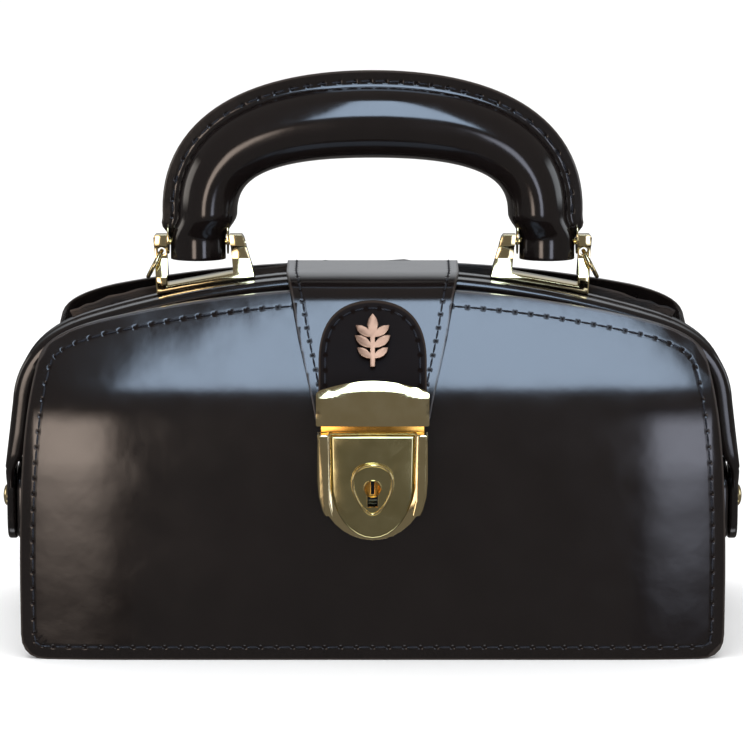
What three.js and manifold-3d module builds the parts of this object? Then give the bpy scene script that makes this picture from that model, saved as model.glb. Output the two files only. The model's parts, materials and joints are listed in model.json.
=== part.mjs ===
// Framed doctor bag: flat-bottomed leather body, hinged steel mouth frame under leather rims,
// lifting centre strap with a slide lock, and a padded top handle on two cast brackets.
// Millimetres. X is the width, -Y the front, +Z up. The origin is the middle of the base.
import * as THREE from "three";
import { mergeVertices } from "three/addons/utils/BufferGeometryUtils.js";
import Module from "manifold-3d";

const wasm = await Module();
wasm.setup();

// ---- Driving dimensions ----
const FIT = 0.3; // gap kept between touching pieces

// Body panels: vertical below the bend, then curved back towards the mouth
const HALF_WIDTH = 125;
const HALF_DEPTH = 60;
const PANEL_THICK = 2.8;
const BEND_Z = 70;
const BEND_RADIUS = 80;
const PANEL_TOP = 129.5;
const BASE_CORNER = 9;
const BASE_THICK = 2;
const FLANGE_HEIGHT = 10;
const LINING_THICK = 1.2;

// Mouth frame: two rims that meet at y = 0 and turn on a rivet at each side
const RIM_TOP = 130.5;
const ARCH_RADIUS = 350;
const ARCH_HALF = 103;
const ARM_OUTER = 134.3;
const RIM_THICK = 7.2;
const RIM_FRONT = 12;
const RIM_MEET = 0.5;
const RIM_ROUND = 2.2;
const PIVOT_Z = 47;
const TAB_BOTTOM = 31;
const TAB_HALF = 8.5;
const TAB_SPLIT = 130.85;
const ARM_STEP_Z = 62;
const ARM_END_Z = 54;
const SHANK_RADIUS = 2;

// Handle, its brackets and the strap rings
const HANDLE_Y = 6.3;
const PIN_Z = 140.7;
const PIN_RADIUS = 1.3;
const BRACKET_INNER = 43.2;
const BRACKET_OUTER = 79;
const EAR_TOP = 143.3;
const BRACKET_DEPTH = 11;
const BAR_THICK = 2.4;
const INNER_EAR = 52.4;
const OUTER_EAR = 75.4;
const EYE_THICK = 0.6;
const LEG_X = 60.4;
const HANDLE_TOP = 184.7;
const BRACKET_RIVET_X = 61;
const RING_HOLE = new THREE.Vector2(77.3, 137.2);
const RING_RADIUS = 5.4;
const RING_WIRE = 0.65;
const RING_LEAN = THREE.MathUtils.degToRad(28);

// Strap and lock
const STRAP_THICK = 2.2;
const STRAP_WIDE = 31;
const STRAP_NARROW = 19.6;
const STRAP_END_Z = 86.4;
const TAB_THICK = 1.5;
const STRAP_GAP = 0.9;
const FOLD_Y = -19;
const HASP_BOTTOM = 85.3;
const HASP_SIDE_TOP = 97.4;
const HASP_TOP = 101.2;
const HASP_HALF = 19.8;
const CASE_TOP = 82.6;
const CASE_HALF = 19.3;
const SLIDER_TOP = 82;
const SLIDER_HALF = 14.8;
const SLIDER_BOTTOM = 45.1;
const SLIDER_STRAIGHT_Z = 67;
const KEY_Z = 63.4;
const LOCK_RIVET_X = 9.5;
const LOCK_RIVET_Z = 75;
const HASP_RIVET_X = 12;
const HASP_RIVET_Z = 92;
const HASP_TILT = THREE.MathUtils.degToRad(15);
const ORNAMENT_Z = 110.6;

// ---- Materials ----
function material(color, roughness, metalness) {
  return new THREE.MeshStandardMaterial({ color, roughness, metalness });
}
const leather = material(0x17120f, 0.16, 0);
const rawLeather = material(0x2a2019, 0.75, 0);
const lining = material(0x3a2a1f, 0.8, 0);
const brass = material(0xd9b565, 0.14, 1);
const steel = material(0x8c8f92, 0.35, 1);
const board = material(0x8a7352, 0.9, 0);

// ---- Solids ----
function solid(geometry) {
  const bare = geometry.clone();
  bare.deleteAttribute("normal");
  bare.deleteAttribute("uv");
  const merged = mergeVertices(bare, 1e-3);
  const mesh = new wasm.Mesh({
    numProp: 3,
    vertProperties: new Float32Array(merged.attributes.position.array),
    triVerts: new Uint32Array(merged.index.array),
  });
  return new wasm.Manifold(mesh);
}

function geometryOf(body) {
  const mesh = body.getMesh();
  const geometry = new THREE.BufferGeometry();
  geometry.setAttribute("position", new THREE.BufferAttribute(new Float32Array(mesh.vertProperties), 3));
  geometry.setIndex(new THREE.BufferAttribute(new Uint32Array(mesh.triVerts), 1));
  geometry.computeVertexNormals();
  return geometry;
}

function shapeOf(points) {
  return new THREE.Shape(points.map(([a, b]) => new THREE.Vector2(a, b)));
}

// An XZ outline pushed along Y, with its edges rounded when round > 0
function prismY(shape, from, to, round = 0, curveSegments = 8) {
  const geometry = new THREE.ExtrudeGeometry(shape, {
    depth: to - from - 2 * round,
    bevelEnabled: round > 0,
    bevelThickness: round,
    bevelSize: round,
    bevelOffset: -round,
    bevelSegments: 1,
    curveSegments,
  });
  geometry.rotateX(Math.PI / 2);
  geometry.translate(0, to - round, 0);
  return solid(geometry);
}

// A YZ outline pushed along X
function prismX(shape, from, to) {
  const settings = { depth: to - from, bevelEnabled: false, curveSegments: 10 };
  const geometry = new THREE.ExtrudeGeometry(shape, settings);
  const axes = new THREE.Matrix4().set(0, 0, 1, from, 1, 0, 0, 0, 0, 1, 0, 0, 0, 0, 0, 1);
  geometry.applyMatrix4(axes);
  return solid(geometry);
}

function box(low, high) {
  const size = high.map((value, i) => value - low[i]);
  const middle = high.map((value, i) => (value + low[i]) / 2);
  const geometry = new THREE.BoxGeometry(...size);
  geometry.translate(...middle);
  return solid(geometry);
}

// A round bar along X, Y or Z between two values of that axis
function rod(axis, radius, from, to, [a, b], sides = 20) {
  const geometry = new THREE.CylinderGeometry(radius, radius, to - from, sides);
  const middle = (from + to) / 2;
  if (axis === "x") {
    geometry.rotateZ(-Math.PI / 2);
    geometry.translate(middle, a, b);
  } else if (axis === "y") {
    geometry.translate(a, middle, b);
  } else {
    geometry.rotateX(Math.PI / 2);
    geometry.translate(a, b, middle);
  }
  return solid(geometry);
}

// A turned piece: profile [radius, distance along the axis], axis along X, outwards on the given side
function turnedX(profile, side, y, z, sides = 16) {
  const points = profile.map(([radius, along]) => new THREE.Vector2(radius, along));
  const geometry = new THREE.LatheGeometry(points, sides);
  geometry.rotateZ(-Math.PI / 2);
  if (side < 0) {
    geometry.rotateZ(Math.PI);
  }
  geometry.translate(0, y, z);
  return solid(geometry);
}

function mirrorX(body) {
  return body.mirror([1, 0, 0]);
}

function mirrorY(body) {
  return body.mirror([0, 1, 0]);
}

// ---- The assembly ----
const bag = new THREE.Group();
bag.name = "doctor_bag";

function add(name, body, look) {
  const mesh = new THREE.Mesh(geometryOf(body), look);
  mesh.name = name;
  bag.add(mesh);
}

// ---- Body panels ----
// Outline of a panel seen from the front, drawn in by the given inset
function panelOutline(inset = 0) {
  const scale = (HALF_WIDTH - inset) / HALF_WIDTH;
  const shape = new THREE.Shape();
  const corner = BASE_CORNER;
  const x = (value) => value * scale;
  const z = (value) => inset + (value * (PANEL_TOP - 2 * inset)) / PANEL_TOP;
  shape.moveTo(x(-HALF_WIDTH + corner), z(0));
  shape.lineTo(x(HALF_WIDTH - corner), z(0));
  shape.quadraticCurveTo(x(HALF_WIDTH), z(0), x(HALF_WIDTH), z(corner));
  shape.lineTo(x(HALF_WIDTH), z(30));
  shape.quadraticCurveTo(x(124.6), z(85), x(117.6), z(108));
  shape.quadraticCurveTo(x(115), z(115), x(97), z(119.4));
  shape.quadraticCurveTo(x(50), z(PANEL_TOP), 0, z(PANEL_TOP));
  shape.quadraticCurveTo(x(-50), z(PANEL_TOP), x(-97), z(119.4));
  shape.quadraticCurveTo(x(-115), z(115), x(-117.6), z(108));
  shape.quadraticCurveTo(x(-124.6), z(85), x(-HALF_WIDTH), z(30));
  shape.lineTo(x(-HALF_WIDTH), z(corner));
  shape.quadraticCurveTo(x(-HALF_WIDTH), z(0), x(-HALF_WIDTH + corner), z(0));
  return shape;
}

// A point of the front face's bent section, moved out (+) or in (-) along its normal
function facePoint(z, out = 0) {
  const rise = Math.max(0, z - BEND_Z);
  const angle = Math.asin(Math.min(1, rise / BEND_RADIUS));
  const radius = BEND_RADIUS + out;
  const y = BEND_RADIUS - HALF_DEPTH - radius * Math.cos(angle);
  return [y, rise > 0 ? BEND_Z + radius * Math.sin(angle) : z];
}

// A sheet that follows the front face between two heights and two distances from it
function faceSheet(lowZ, highZ, inner, outer, halfWidth) {
  const steps = 9;
  const heights = [lowZ];
  const first = Math.max(lowZ, BEND_Z);
  for (let i = 0; i <= steps; i += 1) {
    const z = first + ((highZ - first) * i) / steps;
    if (z > heights[heights.length - 1] + 0.01) {
      heights.push(z);
    }
  }
  const outside = heights.map((z) => facePoint(z, outer));
  const inside = heights.map((z) => facePoint(z, inner)).reverse();
  return prismX(shapeOf([...outside, ...inside].reverse()), -halfWidth, halfWidth);
}

function panelAt(inset, inner, outer, lowZ) {
  const sheet = faceSheet(lowZ, PANEL_TOP + 2, inner, outer, HALF_WIDTH + 1);
  return sheet.intersect(prismY(panelOutline(inset), -HALF_DEPTH - 8, 0));
}

function lockHoles() {
  const rivets = [-LOCK_RIVET_X, LOCK_RIVET_X].map((x) => rod("y", 1.3, -66, -50, [x, LOCK_RIVET_Z]));
  const barrel = rod("y", 4.8, -66, -50, [0, KEY_Z]);
  const springRoom = box([-5.2, -66, KEY_Z], [5.2, -50, 77]);
  return rivets[0].add(rivets[1]).add(barrel).add(springRoom);
}

function buildPanels() {
  const panel = panelAt(0, -PANEL_THICK, 0, 0);
  const liningBoard = panelAt(7, -PANEL_THICK - FIT - LINING_THICK, -PANEL_THICK - FIT, FLANGE_HEIGHT + 3);
  add("front_panel", panel.subtract(lockHoles()), leather);
  add("back_panel", mirrorY(panel), leather);
  add("lining_front", liningBoard.subtract(box([-15, -60, 50], [15, -50, 84])), lining);
  add("lining_back", mirrorY(liningBoard), lining);
}

function buildBase() {
  const wall = HALF_DEPTH - PANEL_THICK - FIT;
  const tray = box([-HALF_WIDTH + 1, -wall, 0], [HALF_WIDTH - 1, wall, FLANGE_HEIGHT]);
  const floor = BASE_THICK;
  const hollow = box(
    [-HALF_WIDTH + 1 + floor, -wall + floor, floor],
    [HALF_WIDTH - 1 - floor, wall - floor, FLANGE_HEIGHT + 1],
  );
  const outline = prismY(panelOutline(1.2), -HALF_DEPTH, HALF_DEPTH);
  const groundSlab = box([-HALF_WIDTH + 10, -wall, 0], [HALF_WIDTH - 10, wall, floor]);
  add("base_leather", tray.intersect(outline).add(groundSlab).subtract(hollow), leather);
  const stiff = box([-112, -wall + floor + 1, floor + FIT], [112, wall - floor - 1, floor + FIT + 2]);
  add("base_board", stiff, board);
}

// Side leather, folded inwards along its middle
function buildGussets() {
  const sheet = 2;
  const edgeX = 120.5;
  const foldX = 111;
  const wall = HALF_DEPTH - PANEL_THICK - 1.2;
  const outer = [[edgeX, -wall], [edgeX - 1, -40], [foldX, 0], [edgeX - 1, 40], [edgeX, wall]];
  const inner = outer.map(([x, y]) => [x - sheet, y]).reverse();
  const plan = new THREE.ExtrudeGeometry(shapeOf([...outer, ...inner]), { depth: 100, bevelEnabled: false });
  plan.translate(0, 0, FLANGE_HEIGHT + 1);
  const steps = 6;
  const side = [[-wall, 0], [-wall, BEND_Z]];
  for (let i = 1; i <= steps; i += 1) {
    side.push(facePoint(BEND_Z + (36 * i) / steps, -PANEL_THICK - 1.2));
  }
  side.push([-30, 97]);
  const profile = [...side, ...side.map(([y, z]) => [-y, z]).reverse()].reverse();
  const gusset = solid(plan)
    .intersect(prismX(shapeOf(profile), 90, 130))
    .intersect(prismY(panelOutline(3), -HALF_DEPTH, HALF_DEPTH));
  add("gusset_right", gusset, leather);
  add("gusset_left", mirrorX(gusset), leather);
}

// Shallow open-topped pocket on the back lining
function buildPocket() {
  const back = HALF_DEPTH - PANEL_THICK - LINING_THICK - 3 * FIT;
  const wall = 1.2;
  const outside = box([-62, back - 9, 18], [62, back, 84]);
  const inside = box([-62 + wall, back - 9 + wall, 18 + wall], [62 - wall, back - wall, 90]);
  add("inner_pocket", outside.subtract(inside).intersect(box([-70, 0, 0], [70, 60, BEND_Z])), lining);
}

// ---- Mouth frame ----
// The rims' outer line as points from the middle of the top down the right-hand arm
function rimLine(endZ) {
  const slope = Math.asin(ARCH_HALF / ARCH_RADIUS);
  const shoulderZ = RIM_TOP - ARCH_RADIUS * (1 - Math.cos(slope));
  const reach = 17;
  const path = new THREE.Path();
  path.moveTo(0, RIM_TOP);
  path.absarc(0, RIM_TOP - ARCH_RADIUS, ARCH_RADIUS, Math.PI / 2, Math.PI / 2 - slope, true);
  path.bezierCurveTo(
    ARCH_HALF + reach * Math.cos(slope), shoulderZ - reach * Math.sin(slope),
    130.2, 101, 131.3, 84,
  );
  path.lineTo(ARM_OUTER, ARM_STEP_Z - 2);
  path.lineTo(ARM_OUTER, 0);
  return cutLine(path.getPoints(7), endZ);
}

// The part of a falling line that lies above a height
function cutLine(points, endZ) {
  const kept = points.filter((point) => point.y > endZ + 0.5);
  const last = kept[kept.length - 1];
  const next = points[kept.length];
  kept.push(last.clone().lerp(next, (last.y - endZ) / (last.y - next.y)));
  return kept;
}

function insetLine(points, inset) {
  return points.map((point, i) => {
    const before = points[Math.max(0, i - 1)];
    const after = points[Math.min(points.length - 1, i + 1)];
    const along = after.clone().sub(before).normalize();
    if (i === 0) {
      along.set(1, 0);
    }
    return [point.x + along.y * inset, point.y - along.x * inset];
  });
}

// Inverted-U band between two insets of the rims' outer line
function archBand(outerInset, innerInset, endZ) {
  const line = rimLine(endZ).filter((point, i, all) => i === 0 || point.distanceTo(all[i - 1]) > 0.01);
  const outer = insetLine(line, outerInset);
  const inner = insetLine(line, innerInset);
  const left = (points) => points.slice(1).map(([x, z]) => [-x, z]);
  const outside = [...left(outer).reverse(), ...outer];
  const inside = [...left(inner).reverse(), ...inner].reverse();
  return shapeOf([...outside, ...inside].reverse());
}

// Rounded plate on the rivet's axis, in the layer between two distances from the middle
function hingeTab(innerX, outerX, half, topZ, bottomZ) {
  const shape = new THREE.Shape();
  const round = half * 0.6;
  shape.moveTo(-half, topZ);
  shape.lineTo(-half, bottomZ + round);
  shape.quadraticCurveTo(-half, bottomZ, 0, bottomZ);
  shape.quadraticCurveTo(half, bottomZ, half, bottomZ + round);
  shape.lineTo(half, topZ);
  shape.lineTo(-half, topZ);
  const right = prismX(shape, innerX, outerX);
  return right.add(mirrorX(right));
}

function bothSides(low, high) {
  const right = box(low, high);
  return right.add(mirrorX(right));
}

// Steel half frame for the front half; grow > 0 gives the room that it sits in
function steelFrame(grow, frontHalf) {
  const band = prismY(
    archBand(2.4 - grow, grow > 0 ? RIM_THICK + 1 : 6.4, ARM_STEP_Z + 2),
    -9.4 - grow, -3.1 + grow,
  );
  const plateInner = frontHalf ? 131.3 : 127.7;
  const reach = grow > 0 ? 1 : 0;
  const plate = hingeTab(plateInner - reach, plateInner + 1 + grow, 6 + grow, 59, 36 - grow);
  const neck = bothSides(
    [plateInner - reach, -9.4 - grow, 55], [plateInner + 1 + grow, -3.1 + grow, ARM_STEP_Z + 5],
  );
  const rearTurn = (body) => (frontHalf ? body : mirrorY(body));
  return rearTurn(band).add(plate).add(rearTurn(neck));
}

function pivotHoles(radius) {
  const right = rod("x", radius, 120, 140, [0, PIVOT_Z]);
  return right.add(mirrorX(right));
}

function bracketRivetHoles(radius) {
  const right = rod("z", radius, 110, 136, [BRACKET_RIVET_X, HANDLE_Y]);
  return right.add(mirrorX(right));
}

function buildFrames() {
  for (const frontHalf of [true, false]) {
    const name = frontHalf ? "front" : "rear";
    const turn = (body) => (frontHalf ? body : mirrorY(body));
    const band = turn(prismY(archBand(0, RIM_THICK, ARM_END_Z), -RIM_FRONT, -RIM_MEET, RIM_ROUND));
    const cut = frontHalf
      ? bothSides([100, -20, 0], [TAB_SPLIT + 0.15, 20, ARM_STEP_Z])
      : bothSides([TAB_SPLIT - 0.15, -20, 0], [140, 20, ARM_STEP_Z]);
    const layer = frontHalf ? [TAB_SPLIT + 0.15, ARM_OUTER] : [ARM_OUTER - RIM_THICK, TAB_SPLIT - 0.15];
    const tab = hingeTab(layer[0], layer[1], TAB_HALF, 57, TAB_BOTTOM);
    const core = steelFrame(0, frontHalf).subtract(pivotHoles(SHANK_RADIUS + FIT));
    const room = steelFrame(FIT, frontHalf);
    const cover = band.subtract(cut).add(tab).subtract(room).subtract(pivotHoles(SHANK_RADIUS + FIT));
    const drill = bracketRivetHoles(1.5 + FIT);
    add(`${name}_frame`, frontHalf ? core : core.subtract(drill), steel);
    add(`${name}_rim`, frontHalf ? cover : cover.subtract(drill), leather);
  }
}

function buildHingePins() {
  const face = ARM_OUTER + FIT;
  const dome = [[4, face], [3.7, face + 0.8], [2.6, face + 1.4], [0, face + 1.7]];
  const foot = [[0, 124.6], [3.1, 124.9], [3.1, 125.6], [SHANK_RADIUS, 125.6], [SHANK_RADIUS, face]];
  const profile = [...foot, ...dome];
  const washer = [[SHANK_RADIUS + FIT, 125.9], [4.6, 125.9], [4.6, 126.8], [SHANK_RADIUS + FIT, 126.8]];
  const ring = [...washer, washer[0]];
  for (const [name, side] of [["left", -1], ["right", 1]]) {
    add(`hinge_pin_${name}`, turnedX(profile, side, 0, PIVOT_Z), brass);
    add(`hinge_washer_${name}`, turnedX(ring, side, 0, PIVOT_Z), steel);
  }
}

// Soft strips between the panels' top edges and the rims, and the raw-edged strip behind
function buildMouthStrips() {
  const sheet = archBand(4, 6, 106);
  const near = RIM_FRONT + FIT;
  add("front_mouth_strip", prismY(sheet, -27, -near), leather);
  add("rear_mouth_strip", prismY(sheet, 19.2, 27), leather);
  const back = prismY(archBand(-1.6, 5.6, 100), 16.4, 18.8).intersect(box([-114, 0, 100], [114, 40, 140]));
  add("back_strip", back, rawLeather);
}

// ---- Handle ----
function crownZ(x) {
  return RIM_TOP - ARCH_RADIUS + Math.sqrt(ARCH_RADIUS ** 2 - x ** 2);
}

// Cast U bracket on the right-hand side: base bar on the rear rim, two tapered ears
function bracket() {
  const foot = (x) => crownZ(x) + FIT;
  const bottom = [0, 1, 2, 3, 4].map((i) => {
    const x = BRACKET_INNER + ((BRACKET_OUTER - BRACKET_INNER) * i) / 4;
    return [x, foot(x)];
  });
  const outerEar = [
    [80.2, EAR_TOP - 1], [79.4, EAR_TOP], [OUTER_EAR, EAR_TOP], [OUTER_EAR - 0.4, foot(75) + BAR_THICK],
  ];
  const innerEar = [[51, foot(51) + BAR_THICK], [INNER_EAR, EAR_TOP], [48, EAR_TOP], [47.2, EAR_TOP - 1]];
  const front = prismY(shapeOf([...bottom, ...outerEar, ...innerEar]), 0, BRACKET_DEPTH, 0.5)
    .translate([0, HANDLE_Y - BRACKET_DEPTH / 2, 0]);
  const half = BRACKET_DEPTH / 2;
  const side = [
    [-half, 110], [half, 110], [half, 128], [1.9, 134.6], [1.9, 138.8], [3.2, 139.3], [3.2, 145], [-3.2, 145],
    [-3.2, 139.3], [-1.9, 138.8], [-1.9, 134.6], [-half, 128],
  ].map(([y, z]) => [y + HANDLE_Y, z]);
  const cast = front.intersect(prismX(shapeOf(side), 30, 90));
  const pinHole = rod("x", PIN_RADIUS + FIT / 2, 30, 90, [HANDLE_Y, PIN_Z], 16);
  const ringHole = rod("y", 1.5, -10, 20, [RING_HOLE.x, RING_HOLE.y], 16);
  return cast.subtract(pinHole).subtract(ringHole);
}

function buildBrackets() {
  const right = bracket();
  const pin = rod("x", PIN_RADIUS, 47.9, 79.3, [HANDLE_Y, PIN_Z], 16);
  const shankTop = crownZ(BRACKET_RIVET_X) - 0.1;
  const shank = rod("z", 1.5, 117, shankTop, [BRACKET_RIVET_X, HANDLE_Y]);
  const head = rod("z", 2.6, 115.6, 117.6, [BRACKET_RIVET_X, HANDLE_Y]);
  const rivet = shank.add(head);
  for (const [name, turn] of [["right", (body) => body], ["left", mirrorX]]) {
    add(`bracket_${name}`, turn(right), brass);
    add(`handle_pin_${name}`, turn(pin), brass);
    add(`bracket_rivet_${name}`, turn(rivet), steel);
  }
}

// Wire ring through the outer ear, leaning out against the bracket's foot
function buildRings() {
  for (const [name, side] of [["right", 1], ["left", -1]]) {
    const geometry = new THREE.TorusGeometry(RING_RADIUS, RING_WIRE, 6, 22);
    geometry.rotateY(Math.PI / 2);
    geometry.translate(0, 0, -RING_RADIUS);
    geometry.rotateY(-side * RING_LEAN);
    geometry.translate(side * RING_HOLE.x, HANDLE_Y, RING_HOLE.y);
    add(`strap_ring_${name}`, solid(geometry), brass);
  }
}

// The middle line of the padded handle, in the XZ plane
function handleLine(bottomZ) {
  const path = new THREE.CurvePath();
  const at = (x, z) => new THREE.Vector3(x, HANDLE_Y, z);
  const springZ = 152;
  const half = [
    new THREE.LineCurve3(at(-LEG_X, bottomZ), at(-LEG_X, springZ)),
    new THREE.CubicBezierCurve3(at(-LEG_X, springZ), at(-LEG_X, 176), at(-36, HANDLE_TOP), at(0, HANDLE_TOP)),
    new THREE.CubicBezierCurve3(at(0, HANDLE_TOP), at(36, HANDLE_TOP), at(LEG_X, 176), at(LEG_X, springZ)),
    new THREE.LineCurve3(at(LEG_X, springZ), at(LEG_X, bottomZ)),
  ];
  half.forEach((curve) => path.add(curve));
  return new THREE.CatmullRomCurve3(path.getSpacedPoints(24));
}

// A section swept along the handle; section points are [across from inside to outside, front to back]
function sweptHandle(section, bottomZ, steps) {
  const line = handleLine(bottomZ);
  const rings = [];
  for (let i = 0; i <= steps; i += 1) {
    const t = i / steps;
    const centre = line.getPointAt(t);
    const along = line.getTangentAt(t);
    const out = new THREE.Vector3(-along.z, 0, along.x);
    const place = ([a, b]) => centre.clone().addScaledVector(out, a).add(new THREE.Vector3(0, b, 0));
    rings.push(section(t).map(place));
  }
  const count = rings[0].length;
  const positions = rings.flat().flatMap((point) => [point.x, point.y, point.z]);
  const index = [];
  for (let i = 0; i < steps; i += 1) {
    for (let j = 0; j < count; j += 1) {
      const a = i * count + j;
      const b = i * count + ((j + 1) % count);
      index.push(a, a + count, b, b, a + count, b + count);
    }
  }
  const last = steps * count;
  for (let j = 1; j < count - 1; j += 1) {
    index.push(0, j, j + 1);
    index.push(last, last + j + 1, last + j);
  }
  const geometry = new THREE.BufferGeometry();
  geometry.setAttribute("position", new THREE.BufferAttribute(new Float32Array(positions), 3));
  geometry.setIndex(index);
  return solid(geometry);
}

function buildHandle() {
  const oval = (across, deep, sides) =>
    Array.from({ length: sides }, (_, i) => {
      const angle = (2 * Math.PI * i) / sides;
      return [across * Math.cos(angle), deep * Math.sin(angle)];
    });
  const thickness = (t) => 10.6 + 2.6 * Math.sin(Math.PI * t) ** 2;
  // The leather closes on a narrow welt along the outer side of the arch
  const outline = (t) => {
    const across = thickness(t);
    const round = oval(across, across, 14).filter(([a]) => a < across * 0.8);
    const flat = [[across * 0.86, -1.6], [across + 4.4, -1.4], [across + 4.4, 1.4], [across * 0.86, 1.6]];
    return [...round, ...flat];
  };
  const shell = sweptHandle(outline, PIN_Z - 6.8, 22);
  const room = sweptHandle(() => oval(5.3, 5.3, 8), PIN_Z - 9, 22);
  const core = sweptHandle(() => oval(4.9, 4.9, 8), PIN_Z - 6.3, 22);
  const pinHole = rod("x", PIN_RADIUS + FIT / 2, 40, 90, [HANDLE_Y, PIN_Z], 16);
  const bores = pinHole.add(mirrorX(pinHole));
  add("handle_cover", shell.subtract(room).subtract(legTrim()).subtract(bores), leather);
  add("handle_core", core.subtract(bores), steel);
}

// What is cut from the leather where each leg narrows between the ears
function legTrim() {
  const low = INNER_EAR + EYE_THICK + 2 * FIT + 0.1;
  const high = OUTER_EAR - EYE_THICK - 2 * FIT - 0.1;
  const keep = box([low, HANDLE_Y - 8, 100], [high, HANDLE_Y + 8, 200]);
  return box([-100, -20, 120], [100, 30, PIN_Z + 6]).subtract(keep).subtract(mirrorX(keep));
}

function buildHandleEnds() {
  for (const [name, side] of [["left", -1], ["right", 1]]) {
    for (const [place, x] of [["inner", INNER_EAR + EYE_THICK], ["outer", OUTER_EAR - EYE_THICK]]) {
      const shape = new THREE.Shape();
      shape.absarc(HANDLE_Y, PIN_Z, 4.6, Math.PI, 0, false);
      shape.lineTo(HANDLE_Y + 4.6, PIN_Z + 5.6);
      shape.lineTo(HANDLE_Y - 4.6, PIN_Z + 5.6);
      shape.lineTo(HANDLE_Y - 4.6, PIN_Z);
      const centre = side * x;
      const plate = prismX(shape, centre - EYE_THICK / 2, centre + EYE_THICK / 2);
      const hole = rod("x", PIN_RADIUS + FIT / 2, centre - 3, centre + 3, [HANDLE_Y, PIN_Z], 16);
      add(`handle_end_${name}_${place}`, plate.subtract(hole), brass);
    }
  }
}

// ---- Strap ----
function strapOutline(margin, lowZ) {
  return shapeOf([
    [-STRAP_NARROW + margin, lowZ], [STRAP_NARROW - margin, lowZ], [STRAP_NARROW - margin + 0.4, 92],
    [STRAP_WIDE - 4 - margin, 112], [STRAP_WIDE - margin, 136], [-STRAP_WIDE + margin, 136],
    [-STRAP_WIDE + 4 + margin, 112], [-STRAP_NARROW + margin - 0.4, 92],
  ]);
}

function buildStrap() {
  const gap = STRAP_GAP;
  add("strap_rear", strapOverMouth(), leather);
  const front = strapOverPanel().intersect(prismY(strapOutline(0, STRAP_END_Z - 1), -80, 0));
  const rivets = [-HASP_RIVET_X, HASP_RIVET_X].map((x) => rod("y", 1.3, -75, -50, [x, HASP_RIVET_Z]));
  const recess = backingPlate(gap - 1, gap + 1.1, 0.3);
  add("strap_front", front.subtract(recess).subtract(rivets[0]).subtract(rivets[1]), leather);
  add("hasp_backing", backingPlate(gap, gap + 0.8, 0), steel);
  const tab = new THREE.Shape();
  tab.moveTo(-19.2, STRAP_END_Z);
  tab.lineTo(19.2, STRAP_END_Z);
  tab.lineTo(19.2, 108);
  tab.quadraticCurveTo(18.6, 126.5, 0, 126.8);
  tab.quadraticCurveTo(-18.6, 126.5, -19.2, 108);
  tab.lineTo(-19.2, STRAP_END_Z);
  const inner = gap + STRAP_THICK + FIT;
  const sheet = faceSheet(STRAP_END_Z - 1, 129, inner, inner + TAB_THICK, 24);
  const overlay = sheet.intersect(prismY(tab, -80, -20));
  add("strap_tab", overlay.subtract(rivets[0]).subtract(rivets[1]), leather);
}

// Thin plate let into the back of the strap's end
function backingPlate(inner, outer, grow) {
  const outline = shapeOf([
    [-16 - grow, 88 - grow], [16 + grow, 88 - grow], [16 + grow, 96 + grow], [-16 - grow, 96 + grow],
  ]);
  return faceSheet(87 - grow, 97 + grow, inner, outer, 20).intersect(prismY(outline, -80, -40));
}

// Fixed strap half: clamped behind the rear rim and laid over both rims
function strapOverMouth() {
  const low = RIM_TOP + 0.5;
  const t = STRAP_THICK;
  const under = [[13.2, 118], [13.2, 126.6], [12, 129.6], [9.5, low], [FOLD_Y, low]];
  const above = [[FOLD_Y, low + t], [10, low + t], [13.6, 131], [15.6, 127], [15.6, 118]];
  return prismX(shapeOf([...under, ...above]), -STRAP_WIDE, STRAP_WIDE);
}

// Lifting strap half: level as far as the panel's edge, then down the panel's slope
function strapOverPanel() {
  const low = RIM_TOP + 0.5;
  const steps = 12;
  const drop = 129.2 - STRAP_END_Z;
  const heights = Array.from({ length: steps + 1 }, (_, i) => 128.2 - (drop * i) / steps);
  const under = [[FOLD_Y - 0.4, low], [-30.5, low], ...heights.map((z) => facePoint(z, STRAP_GAP))];
  const above = [
    [FOLD_Y - 0.4, low + STRAP_THICK], [-31.5, low + STRAP_THICK],
    ...heights.map((z) => facePoint(z, STRAP_GAP + STRAP_THICK)),
  ];
  return prismX(shapeOf([...under.reverse(), ...above]), -STRAP_WIDE - 1, STRAP_WIDE + 1);
}

// A plate lying on the strap's end: drawn in the XZ plane, then tipped back to the panel's slope
function tipped(body, y) {
  const turn = new THREE.Matrix4().makeRotationX(-HASP_TILT);
  turn.setPosition(0, y, HASP_BOTTOM);
  return body.transform(turn.elements);
}

function buildHasp() {
  const rise = HASP_TOP - HASP_BOTTOM;
  const sideRise = HASP_SIDE_TOP - HASP_BOTTOM;
  const shape = new THREE.Shape();
  shape.moveTo(-HASP_HALF, 0);
  shape.lineTo(HASP_HALF, 0);
  shape.lineTo(HASP_HALF, sideRise);
  shape.quadraticCurveTo(0, 2 * rise - sideRise, -HASP_HALF, sideRise);
  shape.lineTo(-HASP_HALF, 0);
  const plate = prismY(shape, -2.6, 0, 0.7);
  const tongue = box([-5, -1.8, -2.1], [5, 2.2, 0.5]);
  add("hasp_plate", tipped(plate.add(tongue), -64.3), brass);
  const [strapBack] = facePoint(HASP_RIVET_Z, STRAP_GAP + 1.3);
  for (const [name, side] of [["left", -1], ["right", 1]]) {
    add(`hasp_rivet_${name}`, rod("y", 1, -62.2, strapBack, [side * HASP_RIVET_X, HASP_RIVET_Z], 12), steel);
  }
}

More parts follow.
